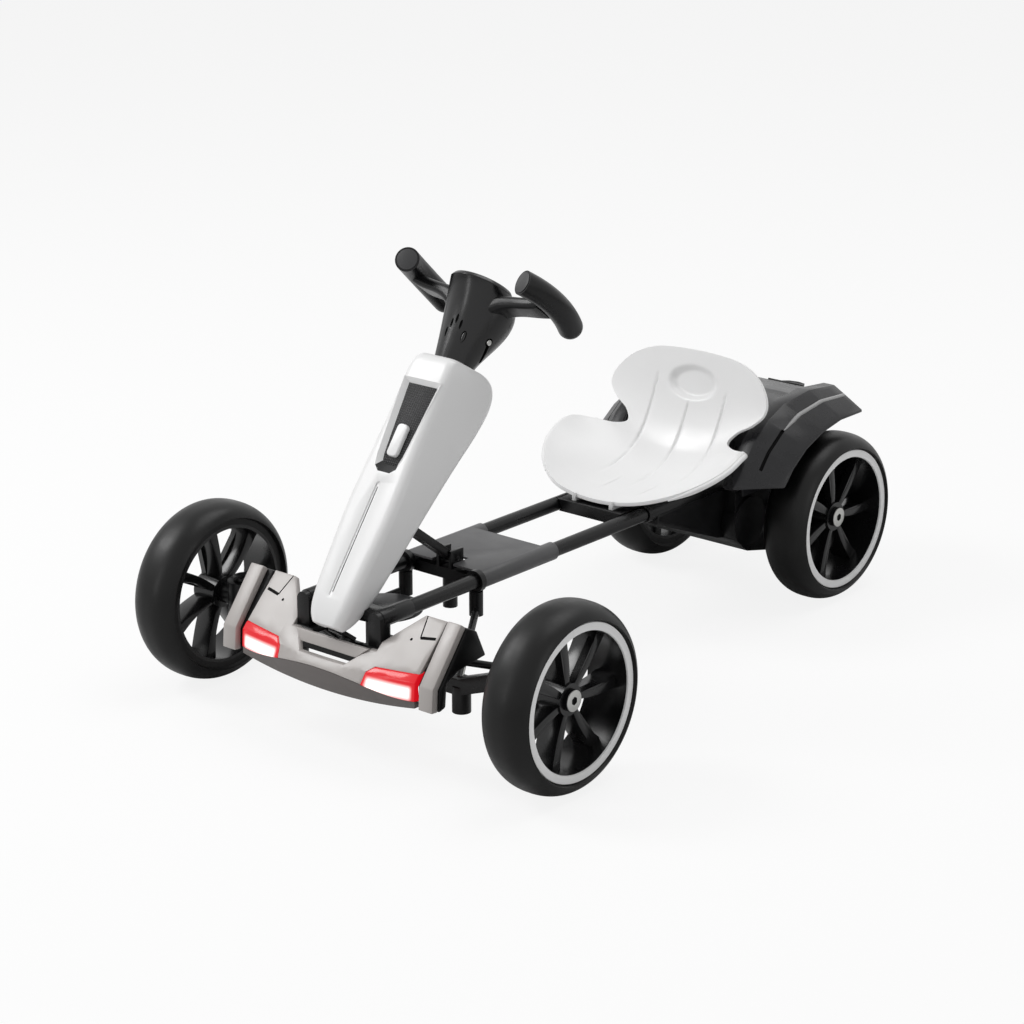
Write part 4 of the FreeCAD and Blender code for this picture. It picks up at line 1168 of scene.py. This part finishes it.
@dataclass
class Seat:
    """Moulded seat shell with its grooves, oval dish and rolled lip."""

    wall_mm: float = 4.0
    edge_mm: float = 1.3
    # How the shell rises from its middle to its edge
    power: float = 2.2
    # Each row: middle (y, z), edge (x, y, z)
    stations: Sequence[tuple[tuple[float, float], tuple[float, float, float]]] = (
        ((8.0, 172.0), (96.0, 22.5, 190.0)), ((40.0, 165.0), (106.0, 48.7, 190.0)),
        ((80.0, 163.0), (112.0, 85.5, 192.5)), ((120.0, 165.0), (115.0, 122.0, 200.0)),
        ((155.0, 172.0), (115.0, 151.5, 209.5)), ((184.0, 190.0), (114.0, 175.5, 214.5)),
        ((205.0, 222.0), (112.0, 196.0, 227.0)), ((220.0, 258.0), (110.0, 211.5, 251.5)),
        ((231.0, 290.0), (109.0, 223.7, 283.0)), ((242.0, 322.0), (108.0, 236.0, 314.5)))
    # Half of the outline: x and the distance along the line half way between pan and back
    outline: Sequence[tuple[float, float]] = (
        (0, 142), (52, 149), (87, 169), (114, 201), (125, 231), (122, 259), (105, 270),
        (85, 275), (72, 283), (80, 296), (98, 307), (110, 321), (107, 338), (88, 358),
        (56, 371), (0, 375))
    corners: tuple[int, int] = (2, 13)
    cells: tuple[int, int] = (120, 170)
    # Steps of the smooth line from one outline point to the next
    line_steps: int = 24
    # Each row: x of a groove and where it starts and ends on the line
    grooves: Sequence[tuple[float, float, float]] = (
        (-50.0, 196.0, 347.0), (0.0, 186.0, 322.0), (50.0, 200.0, 338.0))
    groove_half_mm: float = 1.6
    groove_depth_mm: float = 1.6
    # Length over which a groove deepens at its start and at its end
    groove_fade_mm: tuple[float, float] = (26.0, 6.0)
    dish_w: float = 341.0
    dish_half: tuple[float, float] = (37.0, 19.0)
    dish_depth_mm: float = 6.0
    # Share of the dish's radius that its slope takes
    dish_slope: float = 0.34
    # Outline points between which the lip runs
    lip_points: tuple[int, int] = (2, 6)
    lip_steps: int = 24
    lip_radius_mm: float = 3.0
    lip_under_mm: float = 4.6
    lip_inside_mm: float = 1.0
    lip_taper: float = 0.35
    lip_end_mm: float = 4.0

    def rows_at(self, x: float) -> list[tuple[float, float, float]]:
        """Cuts every station at one distance from the middle.

        Args:
            x: Distance from the middle in millimetres.

        Returns:
            One (w, y, z) for each station, w along the line half way between pan and back.
        """
        rows = []
        for (mid_y, mid_z), (edge_x, edge_y, edge_z) in self.stations:
            rise = (abs(x) / edge_x) ** self.power
            y = mid_y + (edge_y - mid_y) * rise
            z = mid_z + (edge_z - mid_z) * rise
            rows.append(((y + z) / math.sqrt(2.0), y, z))
        return rows

    def point(self, x: float, w: float) -> Vector:
        """Finds the seat's upper face in millimetres.

        Args:
            x: Distance from the middle.
            w: Distance along the line half way between pan and back.

        Returns:
            The point (x, y, z).
        """
        rows = self.rows_at(x)
        i = next((k for k in range(1, len(rows) - 2) if w < rows[k + 1][0]), len(rows) - 3)
        # A cubic through four neighbouring stations.
        near = rows[i - 1:i + 3]
        y = 0.0
        for j, (wj, yj, _) in enumerate(near):
            share = 1.0
            for k, (wk, _, _) in enumerate(near):
                if k != j:
                    share *= (w - wk) / (wj - wk)
            y += share * yj
        return Vector((x, y, w * math.sqrt(2.0) - y))

    def normal(self, x: float, w: float, reach: float = 1.0) -> Vector:
        """Finds the way that the seat's upper face looks.

        Args:
            x: Distance from the middle in millimetres.
            w: Distance along the line half way between pan and back.
            reach: How far to each side the slope is taken.

        Returns:
            The direction, one long.
        """
        slope = self.point(x, w + reach) - self.point(x, w - reach)
        aside = self.point(x + reach, w) - self.point(x - reach, w)
        return aside.cross(slope).normalized()

    def edge(self, first: int, last: int) -> list[Vector]:
        """Runs a smooth line through part of the whole outline.

        Args:
            first: Index of the first outline point.
            last: Index of the last one; below the first, the line runs backwards.

        Returns:
            Points (x, w) at even steps of the line.
        """
        ring = [Vector(p) for p in self.outline]
        ring += [Vector((-x, w)) for x, w in self.outline[-2:0:-1]]
        count = len(ring)
        step = 1 if last >= first else -1
        line = []
        for i in range(first, last, step):
            a, b, c, d = [ring[(i + step * k) % count] for k in (-1, 0, 1, 2)]
            for part in range(self.line_steps):
                t = part / self.line_steps
                line.append(0.5 * (2 * b + (c - a) * t + (2 * a - 5 * b + 4 * c - d) * t * t
                                   + (3 * b - a - 3 * c + d) * t * t * t))
        line.append(ring[last % count])
        return line

    @staticmethod
    def evenly(line: Sequence[Vector], count: int) -> list[Vector]:
        """Divides a line into equal steps.

        Args:
            line: The line's points.
            count: Number of steps.

        Returns:
            One point more than there are steps.
        """
        lengths = [0.0]
        for a, b in zip(line, line[1:]):
            lengths.append(lengths[-1] + (b - a).length)
        points, k = [], 0
        for i in range(count + 1):
            goal = lengths[-1] * i / count
            while k < len(line) - 2 and lengths[k + 1] < goal:
                k += 1
            span = lengths[k + 1] - lengths[k]
            points.append(line[k].lerp(line[k + 1], (goal - lengths[k]) / span if span else 0))
        return points

    def plan(self) -> list[list[Vector]]:
        """Fills the outline with a grid, four-sided all over.

        Returns:
            Rows of (x, w) points from the front of the pan to the top of the back.
        """
        low, high = self.corners
        ring = 2 * (len(self.outline) - 1)
        across, along = self.cells
        front = self.evenly(self.edge(-low, low), across)
        back = self.evenly(self.edge(ring - high, high), across)
        left = self.evenly(self.edge(low, high), along)
        right = [Vector((-p.x, p.y)) for p in left]
        grid = []
        for j in range(along + 1):
            v = j / along
            row = []
            for i in range(across + 1):
                u = i / across
                row.append((1 - v) * front[i] + v * back[i] + (1 - u) * right[j] + u * left[j]
                           - ((1 - u) * (1 - v) * front[0] + u * (1 - v) * front[-1]
                              + (1 - u) * v * back[0] + u * v * back[-1]))
            grid.append(row)
        return grid

    def relief(self, x: float, w: float) -> float:
        """Measures how deep the moulding sinks at a point.

        Args:
            x: Distance from the middle in millimetres.
            w: Distance along the line half way between pan and back.

        Returns:
            The depth in millimetres.
        """
        rise, fall = self.groove_fade_mm
        sunk = 0.0
        for groove_x, start, end in self.grooves:
            fade = min(1.0, max(0.0, (w - start) / rise)) * min(1.0, max(0.0, (end - w) / fall))
            gap = abs(x - groove_x) / self.groove_half_mm
            if gap < 1.0:
                sunk = max(sunk, self.groove_depth_mm * fade * (1.0 - gap * gap))
        spread = math.hypot(x / self.dish_half[0], (w - self.dish_w) / self.dish_half[1])
        if spread < 1.0:
            t = min(1.0, (1.0 - spread) / self.dish_slope)
            sunk = max(sunk, self.dish_depth_mm * t * t * (3 - 2 * t))
        return sunk

    def build(self) -> None:
        """Shapes a grid to the seat, sinks its moulding and gives it its wall."""
        across, along = self.cells
        shell = primitive("seat_shell", "grid", x_subdivisions=across, y_subdivisions=along,
                          size=1.0)
        grid = self.plan()
        for vertex in shell.data.vertices:
            i = round((vertex.co.x + 0.5) * across)
            j = round((vertex.co.y + 0.5) * along)
            x, w = grid[j][i]
            vertex.co = at(*(self.point(x, w) - self.normal(x, w) * self.relief(x, w)))
        paint(shell, WHITE_ABS)
        apply_modifier(shell, "SOLIDIFY", {"thickness": self.wall_mm * MM, "offset": -1.0,
                                           "use_even_offset": True})
        apply_modifier(shell, "BEVEL", {"width": self.edge_mm * MM, "segments": 3,
                                        "limit_method": "ANGLE",
                                        "angle_limit": math.radians(60.0)})
        smooth(shell, SHELL_DEGREES)
        settle(shell, "rear_module", "seat")
        self.lips()

    def lips(self) -> None:
        """Adds the rolled lip along each side of the pan, with a round rear end."""
        line = self.evenly(self.edge(*self.lip_points), self.lip_steps)
        for name, side in (("left", 1), ("right", -1)):
            route = []
            for x, w in line:
                here = self.point(x, w) - self.normal(x, w) * self.lip_under_mm
                route.append(at(side * (here.x - self.lip_inside_mm), here.y, here.z))
            lip = pipe("seat_lip_" + name, route, self.lip_radius_mm, WHITE_ABS, self.lip_taper)
            settle(lip, "rear_module")
            knob = drop("seat_lip_end_" + name, route[-1], UP, SIDE, (self.lip_end_mm,) * 3)
            trim(knob, WHITE_ABS, "rear_module")


@dataclass
class RearCover:
    """Rear cover with its trim ribs, grooves darkened with painted shade, and blank plate."""

    # Each row: crease (y, z) and outer edge (y, z) of the mudguard, from the rear axle
    stations: Sequence[tuple[tuple[float, float], tuple[float, float]]] = (
        ((-145.3, 78.0), (-115.3, 64.0)), ((-118.3, 111.0), (-97.3, 84.0)),
        ((-91.3, 131.0), (-71.3, 102.0)), ((-60.3, 144.5), (-39.3, 114.6)),
        ((-10.3, 150.0), (-1.3, 122.0)), ((52.0, 144.0), (62.0, 122.0)))
    axle_mm: tuple[float, float, float] = (0.0, 323.3, 100.0)
    crease_x: float = 100.0
    outer_x: float = 140.0
    # Where the groove and the rib lie, from the crease to the outer edge
    share: float = 0.38
    # Stations between which they run, counted with fractions
    groove_span: tuple[float, float] = (0.35, 2.05)
    rib_span: tuple[float, float] = (2.1, 4.75)
    route_steps: int = 14
    groove_radius_mm: float = 2.0
    rib_radius_mm: float = 2.6
    rib_sunk_mm: float = 1.3
    rib_taper: float = 0.4
    edge_mm: float = 0.8
    # Border and rise of the pad's rim and middle, and the smallest face that has them
    pad_steps_mm: Sequence[tuple[float, float, float]] = ((3.2, -1.0, 0.0), (2.0, 0.8, 5e-4))
    pad_facing: float = 0.8
    pad_edge_mm: float = 0.25
    plate_at_mm: tuple[float, float, float] = (0.0, 424.0, 216.8)
    plate_radius_mm: float = 16.0
    plate_depth_mm: float = 14.0
    plate_tilt: float = 8.0
    # Border and rise of each step of the raised frame
    plate_steps_mm: Sequence[tuple[float, float]] = ((1.0, 0.0), (3.0, -1.6), (2.0, 1.0))
    plate_middle_mm: float = 4.0
    plate_edge_mm: float = 0.4

    def along(self, side: int, low: float, high: float, sunk: float) -> list[Vector]:
        """Follows the mudguard between two stations.

        Args:
            side: 1 for the left, -1 for the right.
            low: First station, counted with fractions.
            high: Last station.
            sunk: Distance under the face in millimetres.

        Returns:
            Points in metres on the mudguard's outer face.
        """
        route = []
        for n in range(self.route_steps + 1):
            place = low + (high - low) * n / self.route_steps
            i = min(int(place), len(self.stations) - 2)
            part = place - i
            (cy, cz), (oy, oz) = [tuple(p + (q - p) * part for p, q in zip(a, b))
                                  for a, b in zip(self.stations[i], self.stations[i + 1])]
            route.append(at(side * (self.crease_x + (self.outer_x - self.crease_x) * self.share),
                            self.axle_mm[1] + cy + (oy - cy) * self.share,
                            self.axle_mm[2] + cz + (oz - cz) * self.share - sunk))
        return route

    def build(self) -> None:
        """Builds the cover, its ribs and the plate."""
        cover = copy_node("rear_cover", "rear_cover_finished", COVER_ABS)
        soften(cover, self.edge_mm)
        for name, side in (("left", 1), ("right", -1)):
            # Each groove is cut with walls in the near-black painted slot shade.
            groove = pipe("groove", self.along(side, *self.groove_span, 0.0),
                          self.groove_radius_mm, PAINTED_SLOT_SHADE)
            carve(cover, groove, PAINTED_SLOT_SHADE)
            rib = pipe("mudguard_rib_" + name,
                       self.along(side, *self.rib_span, self.rib_sunk_mm), self.rib_radius_mm,
                       GREY_TRIM_AND_LINE_SHADE, self.rib_taper)
            settle(rib, "rear_module")
        smooth(cover, SHELL_DEGREES)
        settle(cover, "rear_module", "rear_cover")
        plate = copy_node("rear_pad", "rear_pad_finished", BLACK_PP)
        for border, rise, smallest in self.pad_steps_mm:
            inset_faces(plate, lambda face: face.normal.z > self.pad_facing
                        and face.area > smallest, border, rise)
        soften(plate, self.pad_edge_mm)
        settle(plate, "rear_module", "rear_pad")
        self.plate()

    def plate(self) -> None:
        """Builds the eight-sided raised frame on the deck, its middle left blank."""
        lean = math.radians(self.plate_tilt)
        axis = Vector((0.0, math.sin(lean), math.cos(lean)))
        top = at(*self.plate_at_mm)
        boss = disc("deck_frame", top - axis * self.plate_depth_mm / 2 * MM, axis,
                    self.plate_radius_mm, self.plate_depth_mm, 8)
        for border, rise in self.plate_steps_mm:
            inset_faces(boss, lambda face: face.normal.dot(axis) > FACING
                        and (face.center - top).length < self.plate_middle_mm * MM,
                        border, rise)
        trim(boss, BLACK_PP, "rear_module", self.plate_edge_mm)


@dataclass
class Boxes:
    """Battery box and motor housing with their moulded side panels."""

    # Each row: node, distance of its side faces, smallest such face in square metres,
    # and the panel's border and rise
    panels: Sequence[tuple[str, float, float, float, float]] = (
        ("battery_box", 60.0, 1e-3, 5.0, -1.6), ("motor_housing", 80.0, 3e-4, 4.0, -1.5))
    slack_mm: float = 0.5
    edge_mm: float = 0.8

    def build(self) -> None:
        """Sinks the side panels and rounds the edges."""
        for node, reach, smallest, border, rise in self.panels:
            box = copy_node(node, node + "_finished", BLACK_PP)
            inset_faces(box, lambda face: abs(face.normal.x) > FACING
                        and abs(face.center.x) > (reach - self.slack_mm) * MM
                        and face.area > smallest, border, rise)
            soften(box, self.edge_mm)
            settle(box, "rear_module", node)


@dataclass
class Frame:
    """Small parts of the steel frame: bright stay rods."""

    rod_start_mm: tuple[float, float, float] = (50.0, -224.5, 112.0)
    rod_end_mm: tuple[float, float, float] = (115.0, -323.3, 85.0)
    rod_reach_mm: float = 4.6

    def build(self) -> None:
        """Finishes the stays, their rods in bare plated steel."""
        stays = copy_node("stays", "stays_finished", BLACK_POWDER)
        stays.data.materials.append(ZINC_STEEL.material())
        start = at(*self.rod_start_mm)
        run = at(*self.rod_end_mm) - start
        for face in stays.data.polygons:
            here = Vector((abs(face.center.x), face.center.y, face.center.z))
            share = (here - start).dot(run) / run.length_squared
            away = (here - start - run * share).length
            if 0.0 < share < 1.0 and away < self.rod_reach_mm * MM:
                face.material_index = 1
        smooth(stays, TUBE_DEGREES)
        settle(stays, "front_frame", "stays")


@dataclass(frozen=True)
class SoftBox:
    """A rectangular lamp: its place and size in metres and its power in watts."""

    name: str
    place: tuple[float, float, float]
    size: tuple[float, float]
    power: float


@dataclass
class Studio:
    """Pale floor, soft light and the camera of the photograph."""

    boxes: Sequence[SoftBox] = (
        SoftBox("key", (-2.1, -1.5, 2.5), (1.3, 1.3), 58.0),
        SoftBox("top", (0.4, 0.9, 3.0), (2.0, 2.0), 34.0),
        SoftBox("strip_left", (-0.9, -2.6, 1.0), (0.3, 1.5), 6.0),
        SoftBox("strip_right", (2.7, -0.3, 1.0), (0.3, 1.5), 5.0))
    aim: tuple[float, float, float] = (0.0, 0.0, 0.15)
    camera_at: tuple[float, float, float] = (1.9375, -2.4253, 1.18731)
    camera_tilt: float = 71.61
    camera_turn: float = 40.02
    lens: float = 102.46
    sensor_mm: float = 36.0
    clip_end: float = 60.0
    floor_half: float = 12.0
    floor_tone: float = 0.86
    # How much of the floor's shade the camera sees washed out to white
    floor_wash: float = 0.86
    backdrop_white: float = 1.0
    fill_level: float = 0.34

    def build(self) -> None:
        """Builds world, floor, lamps and camera."""
        self.world()
        self.floor()
        for box in self.boxes:
            self.lamp(box)
        self.camera()

    def world(self) -> None:
        """White surroundings: white to the camera and in reflections, dimmer as light."""
        world = bpy.data.worlds.new("studio")
        bpy.context.scene.world = world
        world.use_nodes = True
        tree = world.node_tree
        tree.nodes.clear()
        path = add_node(tree, "ShaderNodeLightPath")
        seen = path.outputs["Is Camera Ray"]
        for ray in ("Is Glossy Ray", "Is Transmission Ray"):
            seen = add_node(tree, "ShaderNodeMath", {"operation": "MAXIMUM"},
                            {0: seen, 1: path.outputs[ray]}).outputs[0]
        level = add_node(tree, "ShaderNodeMapRange",
                         {"To Min": self.fill_level, "To Max": self.backdrop_white},
                         {"Value": seen})
        light = add_node(tree, "ShaderNodeBackground", {"Color": (1.0, 1.0, 1.0, 1.0)},
                         {"Strength": level.outputs["Result"]})
        add_node(tree, "ShaderNodeOutputWorld", links={"Surface": light.outputs[0]})

    def floor(self) -> None:
        """A pale floor that keeps the kart's soft shadow."""
        bpy.ops.mesh.primitive_plane_add(size=2 * self.floor_half, location=(0.0, 0.0, 0.0))
        plane = bpy.context.active_object
        plane.name = "studio_floor"
        material = bpy.data.materials.new("matt_white_floor")
        material.use_nodes = True
        tree = material.node_tree
        tree.nodes.clear()
        matt = add_node(tree, "ShaderNodeBsdfDiffuse", {"Color": (*(self.floor_tone,) * 3, 1.0)})
        glow = add_node(tree, "ShaderNodeEmission", {"Strength": 1.0})
        path = add_node(tree, "ShaderNodeLightPath")
        share = add_node(tree, "ShaderNodeMath", {"operation": "MULTIPLY", 1: self.floor_wash},
                         {0: path.outputs["Is Camera Ray"]})
        mix = add_node(tree, "ShaderNodeMixShader", links={
            0: share.outputs[0], 1: matt.outputs[0], 2: glow.outputs[0]})
        add_node(tree, "ShaderNodeOutputMaterial", links={"Surface": mix.outputs[0]})
        plane.data.materials.append(material)

    def lamp(self, box: SoftBox) -> None:
        """Adds a soft box that faces the kart.

        Args:
            box: The lamp.
        """
        data = bpy.data.lights.new(box.name, "AREA")
        data.shape = "RECTANGLE"
        data.size, data.size_y = box.size
        data.energy = box.power
        lamp = bpy.data.objects.new(box.name, data)
        lamp.location = box.place
        aim = Vector(self.aim) - Vector(box.place)
        lamp.rotation_euler = aim.to_track_quat("-Z", "Y").to_euler()
        bpy.context.scene.collection.objects.link(lamp)

    def camera(self) -> None:
        """The camera at the photograph's place and angle."""
        data = bpy.data.cameras.new("photo_camera")
        data.lens = self.lens
        data.sensor_width = self.sensor_mm
        data.clip_end = self.clip_end
        camera = bpy.data.objects.new("photo_camera", data)
        camera.location = self.camera_at
        camera.rotation_euler = (math.radians(self.camera_tilt), 0.0,
                                 math.radians(self.camera_turn))
        bpy.context.scene.collection.objects.link(camera)
        bpy.context.scene.camera = camera


def dress_frame() -> None:
    """Gives every CAD node the finish of its group."""
    for finish, prefixes in NODE_FINISHES.items():
        for name, node in frame["nodes"].items():
            if name.startswith(prefixes):
                material = finish.material()
                for slot in node.material_slots:
                    slot.material = material
                if not node.material_slots:
                    node.data.materials.append(material)


def main() -> None:
    """Builds the studio and every sub-assembly in order."""
    logging.basicConfig(level=logging.INFO, format="%(name)s: %(message)s")
    bpy.context.scene.view_settings.view_transform = "Standard"
    bpy.ops.object.select_all(action="DESELECT")
    Studio().build()
    dress_frame()
    PlainParts().build()
    Bumper().build()
    head = SteeringHead()
    head.build()
    head.grips()
    Column().build()
    Spokes().build()
    HubCaps().build()
    Seat().build()
    RearCover().build()
    Boxes().build()
    Frame().build()


if __name__ == "__main__":
    main()
